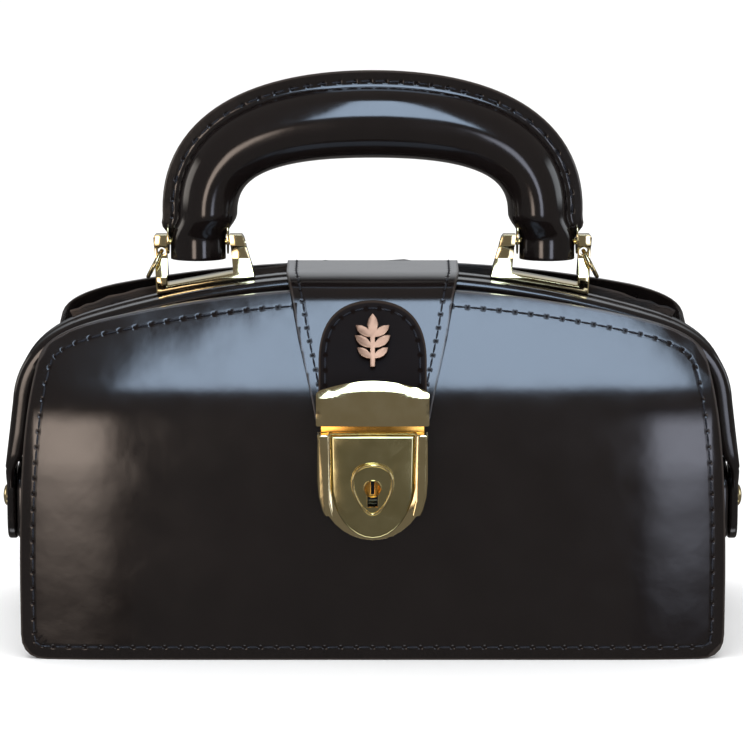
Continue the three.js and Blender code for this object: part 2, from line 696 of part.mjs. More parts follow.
// Cast sprig that decorates the tab
function buildOrnament() {
  const leaf = (angle, length, z) => {
    const shape = new THREE.Shape();
    shape.moveTo(0, 0);
    shape.quadraticCurveTo(length * 0.45, length * 0.55, 0, length);
    shape.quadraticCurveTo(-length * 0.45, length * 0.55, 0, 0);
    return prismY(shape, -1.3, 0, 0, 4).rotate([0, angle, 0]).translate([0, 0, z]);
  };
  const stem = box([-0.9, -1.3, -9.6], [0.9, 0, 6]);
  let sprig = stem.add(leaf(0, 9, 1.6));
  for (const [z, length] of [[-6.6, 7], [-2.6, 8], [1.4, 7.6]]) {
    for (const side of [-1, 1]) {
      sprig = sprig.add(leaf(side * 52, length, z));
    }
  }
  const [y, z] = facePoint(ORNAMENT_Z, STRAP_GAP + STRAP_THICK + TAB_THICK + 1);
  const slope = Math.asin((ORNAMENT_Z - BEND_Z) / BEND_RADIUS);
  const turn = new THREE.Matrix4().makeRotationX(-slope);
  turn.setPosition(0, y, z);
  add("ornament", sprig.transform(turn.elements), brass);
}

// ---- Lock ----
// Shield outline: straight sides, then a rounded foot
function shield(half, topZ, straightZ, bottomZ) {
  const shape = new THREE.Shape();
  const drop = straightZ - bottomZ;
  shape.moveTo(-half, topZ);
  shape.lineTo(-half, straightZ);
  shape.bezierCurveTo(-half, straightZ - drop * 0.62, -half * 0.5, bottomZ, 0, bottomZ);
  shape.bezierCurveTo(half * 0.5, bottomZ, half, straightZ - drop * 0.62, half, straightZ);
  shape.lineTo(half, topZ);
  shape.lineTo(-half, topZ);
  return shape;
}

function keyCut(grow) {
  const head = rod("y", 3 + grow, -80, -40, [0, KEY_Z]);
  const slot = box([-1.9 - grow, -80, KEY_Z - 6.6 - grow], [1.9 + grow, -40, KEY_Z]);
  return head.add(slot);
}

function buildLock() {
  const back = -HALF_DEPTH - FIT;
  const travel = 3;
  const plate = prismY(shield(CASE_HALF, CASE_TOP, 66, 44), back - 1.2, back);
  const rims = prismY(shield(CASE_HALF, CASE_TOP, 66, 41), back - 5.6, back - 1, 0.5)
    .subtract(prismY(shield(SLIDER_HALF + 0.7, CASE_TOP + 5, SLIDER_STRAIGHT_Z - travel, 40), -80, -40))
    .subtract(box([-30, -80, 30], [30, -40, 53.7]));
  const rivetHoles = [-LOCK_RIVET_X, LOCK_RIVET_X].map((x) => rod("y", 1, -70, -50, [x, LOCK_RIVET_Z]));
  const slot = box([-5, -70, KEY_Z - 14], [5, -50, KEY_Z + 6]);
  const body = plate.add(rims).subtract(slot).subtract(rivetHoles[0]).subtract(rivetHoles[1]);
  add("lock_case", body, brass);
  const sliderOutline = shield(SLIDER_HALF, SLIDER_TOP, SLIDER_STRAIGHT_Z, SLIDER_BOTTOM);
  const sliderPlate = prismY(sliderOutline, -64.9, -61.9, 0.6);
  add("lock_slider", sliderPlate.subtract(keyCut(0.4)), brass);
}

function buildEscutcheon() {
  const shape = new THREE.Shape();
  shape.moveTo(0, 54.1);
  shape.bezierCurveTo(3.4, 54.1, 7.4, 62, 7.2, 66);
  shape.bezierCurveTo(6.8, 70.4, 3.6, 72, 0, 72);
  shape.bezierCurveTo(-3.6, 72, -6.8, 70.4, -7.2, 66);
  shape.bezierCurveTo(-7.4, 62, -3.4, 54.1, 0, 54.1);
  add("escutcheon", prismY(shape, -66, -65.2, 0.2).subtract(keyCut(0)), brass);
}

function buildKeyCylinder() {
  const barrel = rod("y", 4.2, -61.2, -54.6, [0, KEY_Z], 24);
  add("key_cylinder", barrel.subtract(box([-0.6, -63, KEY_Z - 3], [0.6, -58, KEY_Z + 3])), steel);
}

// Flat coil spring under the slider, drawn as its folded wire
function buildSpring() {
  const points = [];
  const turns = 5;
  for (let i = 0; i <= turns; i += 1) {
    points.push(new THREE.Vector3(i % 2 ? 4.2 : -4.2, -58.6, 68.6 + i * 1.3));
  }
  const curve = new THREE.CatmullRomCurve3(points, false, "catmullrom", 0.2);
  const section = new THREE.Shape();
  section.absarc(0, 0, 0.35, 0, Math.PI * 2, false);
  const geometry = new THREE.ExtrudeGeometry(section, { steps: 20, extrudePath: curve, curveSegments: 4 });
  add("lock_spring", solid(geometry), steel);
}

function buildLockBack() {
  const y = -HALF_DEPTH + PANEL_THICK + FIT;
  const under = -PANEL_THICK - FIT;
  const sheet = faceSheet(50, 84, under - 1.2, under, 20);
  const plate = sheet.intersect(prismY(shield(13.6, 82, 66, 52), -70, -40));
  const barrelHole = rod("y", 4.8, -66, -50, [0, KEY_Z]);
  const rivets = [-LOCK_RIVET_X, LOCK_RIVET_X].map((x) => rod("y", 1.3, -66, -50, [x, LOCK_RIVET_Z]));
  add("lock_backplate", plate.subtract(barrelHole).subtract(rivets[0]).subtract(rivets[1]), steel);
  for (const [name, side] of [["left", -1], ["right", 1]]) {
    const shank = rod("y", 0.9, -61.3, y + 2, [side * LOCK_RIVET_X, LOCK_RIVET_Z], 12);
    const head = rod("y", 2, y + 1.9, y + 2.8, [side * LOCK_RIVET_X, LOCK_RIVET_Z], 12);
    add(`lock_rivet_${name}`, shank.add(head), steel);
  }
}

buildPanels();
buildBase();
buildGussets();
buildPocket();
buildFrames();
buildHingePins();
buildMouthStrips();
buildBrackets();
buildRings();
buildHandle();
buildHandleEnds();
buildStrap();
buildHasp();
buildOrnament();
buildLock();
buildEscutcheon();
buildKeyCylinder();
buildSpring();
buildLockBack();

export default bag;
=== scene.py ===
import json
import math

import bmesh
import bpy
from mathutils import Matrix, Vector
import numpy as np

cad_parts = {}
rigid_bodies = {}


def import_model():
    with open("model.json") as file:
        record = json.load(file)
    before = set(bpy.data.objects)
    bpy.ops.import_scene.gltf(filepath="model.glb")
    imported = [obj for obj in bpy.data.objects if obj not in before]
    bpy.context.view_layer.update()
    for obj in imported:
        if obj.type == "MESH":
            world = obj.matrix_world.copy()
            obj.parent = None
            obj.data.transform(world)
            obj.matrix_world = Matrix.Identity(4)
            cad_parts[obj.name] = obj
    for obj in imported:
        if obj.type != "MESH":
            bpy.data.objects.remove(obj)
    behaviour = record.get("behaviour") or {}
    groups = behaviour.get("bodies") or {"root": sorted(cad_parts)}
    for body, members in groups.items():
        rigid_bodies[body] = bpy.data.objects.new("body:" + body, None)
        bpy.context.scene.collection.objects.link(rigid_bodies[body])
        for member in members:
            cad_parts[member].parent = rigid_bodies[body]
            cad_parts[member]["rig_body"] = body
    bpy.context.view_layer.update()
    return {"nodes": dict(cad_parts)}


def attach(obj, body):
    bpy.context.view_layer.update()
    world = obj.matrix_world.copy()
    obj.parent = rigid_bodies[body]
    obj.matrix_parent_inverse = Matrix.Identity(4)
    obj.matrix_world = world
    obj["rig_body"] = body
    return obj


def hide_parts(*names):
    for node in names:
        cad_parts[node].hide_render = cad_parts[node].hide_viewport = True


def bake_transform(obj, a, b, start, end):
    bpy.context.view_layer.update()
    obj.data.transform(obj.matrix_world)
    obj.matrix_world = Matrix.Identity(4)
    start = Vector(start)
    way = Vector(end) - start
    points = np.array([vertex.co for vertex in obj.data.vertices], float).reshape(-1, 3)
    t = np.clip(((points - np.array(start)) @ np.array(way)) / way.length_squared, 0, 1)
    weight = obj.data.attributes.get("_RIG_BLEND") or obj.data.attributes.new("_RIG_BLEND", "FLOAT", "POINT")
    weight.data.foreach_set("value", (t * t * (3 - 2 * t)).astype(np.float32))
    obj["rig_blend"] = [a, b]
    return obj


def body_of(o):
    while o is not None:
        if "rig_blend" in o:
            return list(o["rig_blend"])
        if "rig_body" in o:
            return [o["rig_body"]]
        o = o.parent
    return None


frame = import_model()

# ---- Where the bag stands ----
# A pale floor in an even white room. Polished leather shows what is around it, so the room is dark
# to reflections, and soft cards give it the long overhead highlight and the two side ones.
camera_data = bpy.data.cameras.new("camera")
camera_data.lens = 171.7
camera_data.sensor_width = 36
camera_data.clip_end = 40
camera = bpy.data.objects.new("camera", camera_data)
bpy.context.scene.collection.objects.link(camera)
camera.location = (-0.0004, -1.2803, 0.3257)
camera_aim = Vector((-0.0004, 0, 0.0944)) - camera.location
camera.rotation_euler = camera_aim.to_track_quat("-Z", "Y").to_euler()
bpy.context.scene.camera = camera
bpy.context.scene.view_settings.view_transform = "Standard"


def as_object(bm, name, material):
    """The finished mesh as an object at the origin, smooth where its faces meet gently."""
    mesh = bpy.data.meshes.new(name)
    bm.to_mesh(mesh)
    bm.free()
    made = bpy.data.objects.new(name, mesh)
    bpy.context.scene.collection.objects.link(made)
    made.data.materials.append(material)
    mesh.shade_smooth()
    mesh.set_sharp_from_angle(angle=math.radians(38))
    return made


def new_material(name):
    material = bpy.data.materials.new(name)
    material.use_nodes = True
    return material, material.node_tree, material.node_tree.nodes["Principled BSDF"]


def add_node(tree, kind, **values):
    """A shader node with its inputs set; an underscore in a name stands for a space."""
    node = tree.nodes.new("ShaderNode" + kind)
    for label, value in values.items():
        socket = node.inputs[label.replace("_", " ")]
        if isinstance(value, bpy.types.NodeSocket):
            tree.links.new(value, socket)
        else:
            socket.default_value = value
    return node


def object_place(tree):
    return tree.nodes.new("ShaderNodeTexCoord").outputs["Object"]


def noise(tree, place, scale, detail=2, roughness=0.5):
    made = add_node(tree, "TexNoise", Vector=place, Scale=scale, Detail=detail, Roughness=roughness)
    return made.outputs["Fac"]


def mixed(tree, share, low, high):
    """A colour between two others, each a value or a socket."""
    node = tree.nodes.new("ShaderNodeMix")
    node.data_type = "RGBA"
    tree.links.new(share, node.inputs["Factor"])
    for label, colour in (("A", low), ("B", high)):
        if isinstance(colour, bpy.types.NodeSocket):
            tree.links.new(colour, node.inputs[label])
        else:
            node.inputs[label].default_value = colour
    return node.outputs["Result"]


def fading(tree, value, low, high):
    """1 up to low, falling smoothly to 0 at high."""
    node = add_node(tree, "MapRange", Value=value, From_Min=low, From_Max=high, To_Min=1, To_Max=0)
    node.interpolation_type = "SMOOTHSTEP"
    return node.outputs["Result"]


def joined(tree, operation, *operands):
    """A Math node in the tree; each operand is a number or a socket."""
    node = tree.nodes.new("ShaderNodeMath")
    node.operation = operation
    for place, value in enumerate(operands):
        if isinstance(value, (int, float)):
            node.inputs[place].default_value = value
        else:
            tree.links.new(value, node.inputs[place])
    return node.outputs["Value"]


floor_finish, tree, shader = new_material("floor_finish")
shader.inputs["Roughness"].default_value = 0.6
shader.inputs["Specular IOR Level"].default_value = 0.15
pale = mixed(tree, noise(tree, object_place(tree), 3), (0.93, 0.93, 0.935, 1), (0.95, 0.95, 0.95, 1))
tree.links.new(pale, shader.inputs["Base Color"])
bm = bmesh.new()
bmesh.ops.create_grid(bm, x_segments=1, y_segments=1, size=14)
floor = as_object(bm, "floor", floor_finish)
floor.visible_glossy = False

room = bpy.data.worlds.new("room")
bpy.context.scene.world = room
room.use_nodes = True
ray = room.node_tree.nodes.new("ShaderNodeLightPath").outputs["Is Glossy Ray"]
room_light = mixed(room.node_tree, ray, (1.22, 1.22, 1.22, 1), (0.150, 0.142, 0.136, 1))
room.node_tree.links.new(room_light, room.node_tree.nodes["Background"].inputs["Color"])


def light_card(name, middle, facing, width, height, colour, strength, soft=0.5, narrow=1.0):
    """A glowing card that only reflections see, fading out towards its edges; narrow tapers its top."""
    glow, tree, shader = new_material(name)
    tree.nodes.remove(shader)
    spread = tree.nodes.new("ShaderNodeUVMap")
    spread.uv_map = "card"
    parts = add_node(tree, "SeparateXYZ", Vector=spread.outputs["UV"])
    level = strength
    for axis in ("X", "Y"):
        away = joined(tree, "ABSOLUTE", parts.outputs[axis])
        level = joined(tree, "MULTIPLY", fading(tree, away, 1 - soft, 1), level)
    lamp = add_node(tree, "Emission", Color=(*colour, 1), Strength=level)
    tree.links.new(lamp.outputs["Emission"], tree.nodes["Material Output"].inputs["Surface"])
    bm = bmesh.new()
    bmesh.ops.create_grid(bm, x_segments=8, y_segments=8, size=1)
    corner = bm.loops.layers.uv.new("card")
    for face in bm.faces:
        for loop in face.loops:
            loop[corner].uv = loop.vert.co.xy
    for vert in bm.verts:
        vert.co.x *= 1 + (narrow - 1) * (vert.co.y + 1) / 2
    turn = (Vector(facing) - Vector(middle)).to_track_quat("Z", "Y").to_matrix().to_4x4()
    place = Matrix.Translation(middle) @ turn @ Matrix.Diagonal((width / 2, height / 2, 1, 1))
    bm.transform(place)
    card = as_object(bm, name, glow)
    card.visible_camera = False
    card.visible_diffuse = False
    card.visible_shadow = False


AIM = (0, 0, 0.09)
light_card("card_overhead", (0.060, -0.68, 0.98), AIM, 0.70, 1.14, (0.60, 0.77, 1.0), 8.0, 0.22, 0.22)
light_card("card_back", (0.0, 1.30, 0.45), AIM, 1.5, 1.2, (0.93, 0.96, 1.0), 0.65, 0.9)
light_card("card_left", (-0.34, -1.15, 0.09), AIM, 0.34, 0.78, (1.0, 0.82, 0.70), 5.0, 0.6)
light_card("card_right", (0.36, -1.15, 0.09), AIM, 0.30, 0.78, (0.80, 0.84, 1.0), 3.9, 0.6)
light_card("card_far_left", (-1.3, 0.1, 0.35), AIM, 0.9, 0.8, (1.0, 0.93, 0.86), 2.0)
light_card("card_far_right", (1.3, 0.1, 0.35), AIM, 0.9, 0.8, (0.90, 0.95, 1.0), 2.0)
light_card("card_low", (0.0, -0.50, -0.85), AIM, 1.8, 0.5, (0.95, 0.97, 1.0), 2.6, 0.7)

softbox_data = bpy.data.lights.new("softbox", "AREA")
softbox_data.shape = "RECTANGLE"
softbox_data.size, softbox_data.size_y = 1.6, 1.2
softbox_data.energy = 12
softbox = bpy.data.objects.new("softbox", softbox_data)
bpy.context.scene.collection.objects.link(softbox)
softbox.location = (-0.2, -0.5, 1.6)
softbox.rotation_euler = (Vector(AIM) - softbox.location).to_track_quat("-Z", "Y").to_euler()
softbox.visible_glossy = False

# ---- Front and back panels ----
# Two stiff panels of near-black polished leather, upright below and curved back towards the mouth.
# Their cut edges are inked, with a painted highlight along them, and one line of thick thread runs all the
# way round inside the edge.
HALF_WIDTH = 0.125
BEND_Z = 0.070
BEND_RADIUS = 0.080
BEND_Y = 0.020
PANEL_TOP = 0.1295
PANEL_THICK = 0.0028
SEAM_IN = 0.0047


def group_with(name, inputs, outputs):
    """A new node group, with its inputs' defaults and its outputs as given."""
    made = bpy.data.node_groups.new(name, "ShaderNodeTree")
    for label, kind, value in inputs:
        socket = made.interface.new_socket(label, in_out="INPUT", socket_type=kind)
        socket.default_value = value
    for label, kind in outputs:
        made.interface.new_socket(label, in_out="OUTPUT", socket_type=kind)
    return made, made.nodes.new("NodeGroupInput"), made.nodes.new("NodeGroupOutput")


# Polished hide: long soft waves left by the lasting, faint pores, and a slightly uneven polish.
hide, given, result = group_with(
    "hide_surface",
    [("Wave", "NodeSocketFloat", 1.0), ("Pores", "NodeSocketFloat", 1.0), ("Wear", "NodeSocketFloat", 1.0)],
    [("Height", "NodeSocketFloat"), ("Tone", "NodeSocketFloat"), ("Gloss", "NodeSocketFloat")],
)
place = object_place(hide)
waves = joined(hide, "MULTIPLY", noise(hide, place, 26), 0.00045)
ripples = joined(hide, "MULTIPLY", noise(hide, place, 110), 0.00005)
both_waves = joined(hide, "MULTIPLY", joined(hide, "ADD", waves, ripples), given.outputs["Wave"])
cells = add_node(hide, "TexVoronoi", Vector=place, Scale=1500)
pores = joined(hide, "MULTIPLY", joined(hide, "MINIMUM", cells.outputs["Distance"], 0.45), 0.000006)
pores = joined(hide, "MULTIPLY", pores, given.outputs["Pores"])
hide.links.new(joined(hide, "ADD", both_waves, pores), result.inputs["Height"])
hide.links.new(noise(hide, place, 34, 4, 0.6), result.inputs["Tone"])
smears = joined(hide, "MULTIPLY", noise(hide, place, 70, 5, 0.65), given.outputs["Wear"])
fine_smears = joined(hide, "MULTIPLY", noise(hide, place, 900), 0.25)
hide.links.new(joined(hide, "ADD", smears, fine_smears), result.inputs["Gloss"])

# What a line of sewing does to the leather: small deep awl holes joined by a faint groove. The cut
# edge beside it is inked; Edge marks it for a lighter brown, a painted highlight along the edge.
sewing, given, result = group_with(
    "seam_pull",
    [
        ("Inset", "NodeSocketFloat", 0.0), ("Run", "NodeSocketFloat", 0.0),
        ("Line", "NodeSocketFloat", SEAM_IN), ("Pitch", "NodeSocketFloat", 0.0057),
        ("Depth", "NodeSocketFloat", 1.0),
    ],
    [("Height", "NodeSocketFloat"), ("Edge", "NodeSocketFloat"), ("Hole", "NodeSocketFloat")],
)
off_line = joined(sewing, "SUBTRACT", given.outputs["Inset"], given.outputs["Line"])
near_line = fading(sewing, joined(sewing, "ABSOLUTE", off_line), 0.0001, 0.0011)
stitches = joined(sewing, "DIVIDE", given.outputs["Run"], given.outputs["Pitch"])
beat = joined(sewing, "COSINE", joined(sewing, "MULTIPLY", stitches, math.tau))
hole = joined(sewing, "POWER", joined(sewing, "MULTIPLY_ADD", beat, 0.5, 0.5), 8.0)
dip = joined(sewing, "MULTIPLY", joined(sewing, "MULTIPLY_ADD", hole, 0.00055, 0.00004), near_line)
dip = joined(sewing, "MULTIPLY", dip, given.outputs["Depth"])
sewing.links.new(joined(sewing, "MULTIPLY", dip, -1.0), result.inputs["Height"])
sewing.links.new(joined(sewing, "MULTIPLY", hole, near_line), result.inputs["Hole"])
sewing.links.new(fading(sewing, given.outputs["Inset"], 0.0003, 0.0009), result.inputs["Edge"])


def add_bump(tree, shader, height, distance=1.0):
    relief = add_node(tree, "Bump", Height=height, Distance=distance)
    tree.links.new(relief.outputs["Normal"], shader.inputs["Normal"])


def use_group(tree, group, **values):
    node = tree.nodes.new("ShaderNodeGroup")
    node.node_tree = group
    for label, value in values.items():
        node.inputs[label].default_value = value
    return node


def polished_leather(name, line=None, pitch=0.0057, wave=1.0, depth=1.0, shine=0.12, mirror=0.5, coat=0.35):
    """Near-black glazed calf; with line given, the finish follows a sewn edge on the piece."""
    material, tree, shader = new_material(name)
    skin = use_group(tree, hide, Wave=wave)
    colour = mixed(tree, skin.outputs["Tone"], (0.0040, 0.0028, 0.0027, 1), (0.0092, 0.0066, 0.0062, 1))
    gloss = add_node(
        tree, "MapRange", Value=skin.outputs["Gloss"], From_Min=0.3, From_Max=0.95,
        To_Min=shine - 0.025, To_Max=shine + 0.06,
    )
    roughness, height = gloss.outputs["Result"], skin.outputs["Height"]
    shader.inputs["Specular IOR Level"].default_value = mirror
    shader.inputs["Coat Weight"].default_value = coat
    if line is not None:
        sewn = use_group(tree, sewing, Line=line, Pitch=pitch, Depth=depth)
        for label, attribute in (("Inset", "inset"), ("Run", "run")):
            read = tree.nodes.new("ShaderNodeAttribute")
            read.attribute_name = attribute
            tree.links.new(read.outputs["Fac"], sewn.inputs[label])
        # The cut edge is painted a lighter brown, a painted highlight along the inked edge; it is also made
        # rougher.
        colour = mixed(tree, sewn.outputs["Edge"], colour, (0.03, 0.022, 0.018, 1))
        roughness = joined(tree, "MULTIPLY_ADD", sewn.outputs["Edge"], 0.2, roughness)
        sheen = joined(tree, "MULTIPLY_ADD", sewn.outputs["Hole"], -0.96 * mirror, mirror)
        tree.links.new(sheen, shader.inputs["Specular IOR Level"])
        cover = joined(tree, "MULTIPLY_ADD", sewn.outputs["Hole"], -coat, coat)
        tree.links.new(cover, shader.inputs["Coat Weight"])
        height = joined(tree, "ADD", height, sewn.outputs["Height"])
    tree.links.new(colour, shader.inputs["Base Color"])
    tree.links.new(roughness, shader.inputs["Roughness"])
    add_bump(tree, shader, height)
    shader.inputs["IOR"].default_value = 1.5
    shader.inputs["Coat Roughness"].default_value = 0.05
    return material


def bend(points, steps=8):
    """Points of a quadratic curve through a start, a pull and an end, without its start."""
    start, pull, end = points
    found = []
    for i in range(1, steps + 1):
        t = i / steps
        a, b, c = (1 - t) ** 2, 2 * t * (1 - t), t * t
        found.append((a * start[0] + b * pull[0] + c * end[0], a * start[1] + b * pull[1] + c * end[1]))
    return found


def both_halves(right):
    """A closed outline from its right half, which runs from the bottom middle to the top middle."""
    left = [(-x, z) for x, z in reversed(right) if abs(x) > 1e-7]
    return right + left


def panel_outline():
    right = [(0.0, 0.0), (0.116, 0.0)]
    right += bend([(0.116, 0.0), (HALF_WIDTH, 0.0), (HALF_WIDTH, 0.009)], 5)
    right += [(HALF_WIDTH, 0.030)]
    right += bend([(HALF_WIDTH, 0.030), (0.1246, 0.085), (0.1176, 0.108)], 12)
    right += bend([(0.1176, 0.108), (0.115, 0.115), (0.097, 0.1194)], 8)
    right += bend([(0.097, 0.1194), (0.050, PANEL_TOP), (0.0, PANEL_TOP)], 14)
    return both_halves(right)


def outline_reading(outline, x, z):
    """How far a point is from an outline, and how far along it that is from the outline's start."""
    best, best_run, run = 1e9, 0.0, 0.0
    for (ax, az), (bx, bz) in zip(outline, outline[1:] + outline[:1]):
        dx, dz = bx - ax, bz - az
        length = math.hypot(dx, dz)
        if length < 1e-9:
            continue
        t = min(1.0, max(0.0, ((x - ax) * dx + (z - az) * dz) / length**2))
        away = math.hypot(x - ax - t * dx, z - az - t * dz)
        if away < best:
            best, best_run = away, run + t * length
        run += length
    return best, min(best_run, run - best_run)


def cut_sheet(outline, rings, cell):
    """A flat piece in the XZ plane, cut in cells so that it can bend, knowing its own edge."""
    bm = bmesh.new()
    corners = [bm.verts.new((x, 0, z)) for x, z in outline]
    middle = bm.faces.new(corners)
    for width in rings:
        bmesh.ops.inset_region(bm, faces=[middle], thickness=width, use_even_offset=True)
    xs, zs = [x for x, z in outline], [z for x, z in outline]
    for axis, low, high in ((0, min(xs), max(xs)), (2, min(zs), max(zs))):
        count = max(2, round((high - low) / cell))
        for i in range(1, count):
            place = Vector((0, 0, 0))
            place[axis] = low + (high - low) * i / count
            normal = Vector((0, 0, 0))
            normal[axis] = 1
            everything = bm.verts[:] + bm.edges[:] + bm.faces[:]
            bmesh.ops.bisect_plane(bm, geom=everything, plane_co=place, plane_no=normal, dist=1e-6)
    inset = bm.verts.layers.float.new("inset")
    run = bm.verts.layers.float.new("run")
    for vert in bm.verts:
        vert[inset], vert[run] = outline_reading(outline, vert.co.x, vert.co.z)
    bmesh.ops.recalc_face_normals(bm, faces=bm.faces)
    if sum(face.normal.y for face in bm.faces) > 0:
        bmesh.ops.reverse_faces(bm, faces=bm.faces)
    return bm


def face_y(z, out):
    """Where the front panel's outer face is at a height, moved out along its normal."""
    radius = BEND_RADIUS + out
    rise = min(max(0.0, z - BEND_Z), radius * 0.999)
    return BEND_Y - math.sqrt(radius**2 - rise**2)


def side_roll(x):
    """How far the panel draws back near its sides, where the side leather pulls on it."""
    pull = max(0.0, (abs(x) - 0.085) / 0.040)
    return 0.0022 * pull**2.2


def lay_on_front(bm, out, roll=True):
    for vert in bm.verts:
        x, z = vert.co.x, vert.co.z
        vert.co.y += face_y(z, out) + (side_roll(x) if roll else 0)


def sharp_edges(bm, degrees):
    limit = math.radians(degrees)
    return [e for e in bm.edges if len(e.link_faces) == 2 and e.calc_face_angle(0) > limit]


def ease(bm, edges, width, segments):
    bmesh.ops.bevel(
        bm, geom=edges, offset=width, segments=segments, profile=0.5, affect="EDGES", material=-1,
        clamp_overlap=True,
    )


def give_thickness(bm, thickness, edge_round, segments=2):
    """Thickens a sheet inwards from its outer face, and eases both cut edges."""
    bmesh.ops.solidify(bm, geom=bm.faces[:], thickness=thickness)
    bm.normal_update()
    ease(bm, sharp_edges(bm, 55), edge_round, segments)
    bmesh.ops.recalc_face_normals(bm, faces=bm.faces)


def turned_to(bm, turn):
    """Mirrors a piece made for the front to the back when turn is -1."""
    if turn < 0:
        bmesh.ops.scale(bm, vec=(1, -1, 1), verts=bm.verts)
        bmesh.ops.reverse_faces(bm, faces=bm.faces)


def line_length(points, closed=True):
    ends = points[1:] + points[:1] if closed else points[1:]
    return sum(math.dist(a, b) for a, b in zip(points, ends))


def even_pitch(outline, pitch):
    """The stitch length nearest to pitch that goes a whole number of times round an outline."""
    total = line_length(outline)
    return total / round(total / pitch)


def fit(piece, body, slot, *stood_for):
    """Hangs a visible piece on its body, in place of the CAD nodes named, which it hides; slot is not used.
    """
    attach(piece, body)
    if stood_for:
        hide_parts(*stood_for)


edge_line = panel_outline()
PANEL_PITCH = even_pitch(edge_line, 0.0057)
panel_leather = polished_leather("panel_leather", line=SEAM_IN, pitch=PANEL_PITCH, depth=0.5)
for name, body, node, turn in (
    ("panel_front", "front_wall", "front_panel", 1), ("panel_back", "root", "back_panel", -1),
):
    bm = cut_sheet(edge_line, [0.0009, 0.0016, 0.0012, 0.0010, 0.0010, 0.0018, 0.0030], 0.006)
    lay_on_front(bm, 0)
    give_thickness(bm, PANEL_THICK, 0.0006, 3)
    turned_to(bm, turn)
    fit(as_object(bm, name, panel_leather), body, "leather", node)

# ---- Panel stitching ----
# Waxed navy thread in long single stitches; each one sinks into its awl holes at both ends.
thread_finish, tree, shader = new_material("waxed_thread")
twist = add_node(tree, "TexWave", Vector=object_place(tree), Scale=620, Distortion=3)
twist.bands_direction = "DIAGONAL"
dye = mixed(tree, twist.outputs["Fac"], (0.004, 0.0045, 0.008, 1), (0.020, 0.023, 0.036, 1))
tree.links.new(dye, shader.inputs["Base Color"])
add_bump(tree, shader, twist.outputs["Fac"], 0.0002)
shader.inputs["Roughness"].default_value = 0.42


def add_stitch(bm, start, end, out, width):
    """One stitch from hole to hole, lying on a surface whose outward direction is out."""
    along = end - start
    length = along.length
    along.normalize()
    side = out.cross(along).normalized()
    up = along.cross(side)
    frame_of = Matrix((along * length, side * width, up * width * 0.9)).transposed().to_4x4()
    place = Matrix.Translation((start + end) / 2 + up * width * 0.08) @ frame_of
    turn = Matrix.Rotation(math.pi / 2, 4, "Y")
    bmesh.ops.create_uvsphere(bm, u_segments=6, v_segments=4, radius=0.5, matrix=place @ turn)


def walk(outline, run):
    """The point and direction at a distance along an outline or an open line."""
    for (ax, az), (bx, bz) in zip(outline, outline[1:] + outline[:1]):
        length = math.hypot(bx - ax, bz - az)
        if length > 1e-9 and run <= length:
            t = run / length
            return ax + t * (bx - ax), az + t * (bz - az), (bx - ax) / length, (bz - az) / length
        run -= length
    return ax, az, 0, 0


def sew(bm, outline, inset, pitch, surface, width=0.00075, keep=lambda x, z: True):
    """Stitches along an outline, drawn in by inset and laid on a surface(x, z) -> place, outward."""
    total = line_length(outline)
    count = round(total / pitch)
    for i in range(count):
        ends = []
        for share in (0.13, 0.87):
            x, z, dx, dz = walk(outline, (i + share) * total / count)
            ends.append((x - dz * inset, z + dx * inset))
        middle = ((ends[0][0] + ends[1][0]) / 2, (ends[0][1] + ends[1][1]) / 2)
        if keep(*middle) and math.dist(*ends) > pitch * 0.2:
            (start, _), (end, _) = surface(*ends[0]), surface(*ends[1])
            add_stitch(bm, start, end, surface(*middle)[1], width)


def front_surface(out, roll=True):
    def at_place(x, z):
        y = face_y(z, out) + (side_roll(x) if roll else 0)
        rise = max(0.0, z - BEND_Z)
        outward = Vector((0, y - BEND_Y, rise)).normalized() if rise > 0 else Vector((0, -1, 0))
        return Vector((x, y, z)), outward

    return at_place


for name, body, turn in (("panel_front_thread", "front_wall", 1), ("panel_back_thread", "root", -1)):
    bm = bmesh.new()
    sew(bm, edge_line, SEAM_IN, PANEL_PITCH, front_surface(0.00005))
    turned_to(bm, turn)
    fit(as_object(bm, name, thread_finish), body, "leather")

# ---- Linings and inner pocket ----
# Thin boards covered in brown moleskin, glued inside the two panels, and a shallow pocket at the back.
cloth, tree, shader = new_material("moleskin")
place = object_place(tree)
browns = mixed(tree, noise(tree, place, 40, 3), (0.036, 0.020, 0.011, 1), (0.085, 0.050, 0.028, 1))
tree.links.new(browns, shader.inputs["Base Color"])
add_bump(tree, shader, noise(tree, place, 900, 4), 0.0003)
shader.inputs["Roughness"].default_value = 0.9
shader.inputs["Sheen Weight"].default_value = 0.35
for name, body, turn in (("lining_front_face", "front_wall", 1), ("lining_back_face", "root", -1)):
    inner = [(x * 0.944, 0.0135 + z * (0.1225 - 0.0135) / PANEL_TOP) for x, z in edge_line]
    bm = cut_sheet(inner, [0.001], 0.012)
    lay_on_front(bm, -PANEL_THICK - 0.0002)
    give_thickness(bm, 0.0012, 0.0003, 1)
    turned_to(bm, turn)
    fit(as_object(bm, name, cloth), body, "lining", name.removesuffix("_face"))


def refined(node, name, material, slot, width, segments=2, angle=30):
    """A metal or board piece from its own solid, merged and with its corners eased."""
    source = frame["nodes"][node]
    bm = bmesh.new()
    bm.from_mesh(source.data)
    bmesh.ops.remove_doubles(bm, verts=bm.verts, dist=1e-6)
    bmesh.ops.dissolve_limit(bm, angle_limit=math.radians(4), verts=bm.verts[:], edges=bm.edges[:])
    bm.normal_update()
    if width > 0:
        ease(bm, sharp_edges(bm, angle), width, segments)
    fit(as_object(bm, name, material), body_of(source)[0], slot, node)


refined("inner_pocket", "pocket_pouch", cloth, "lining", 0.0004)

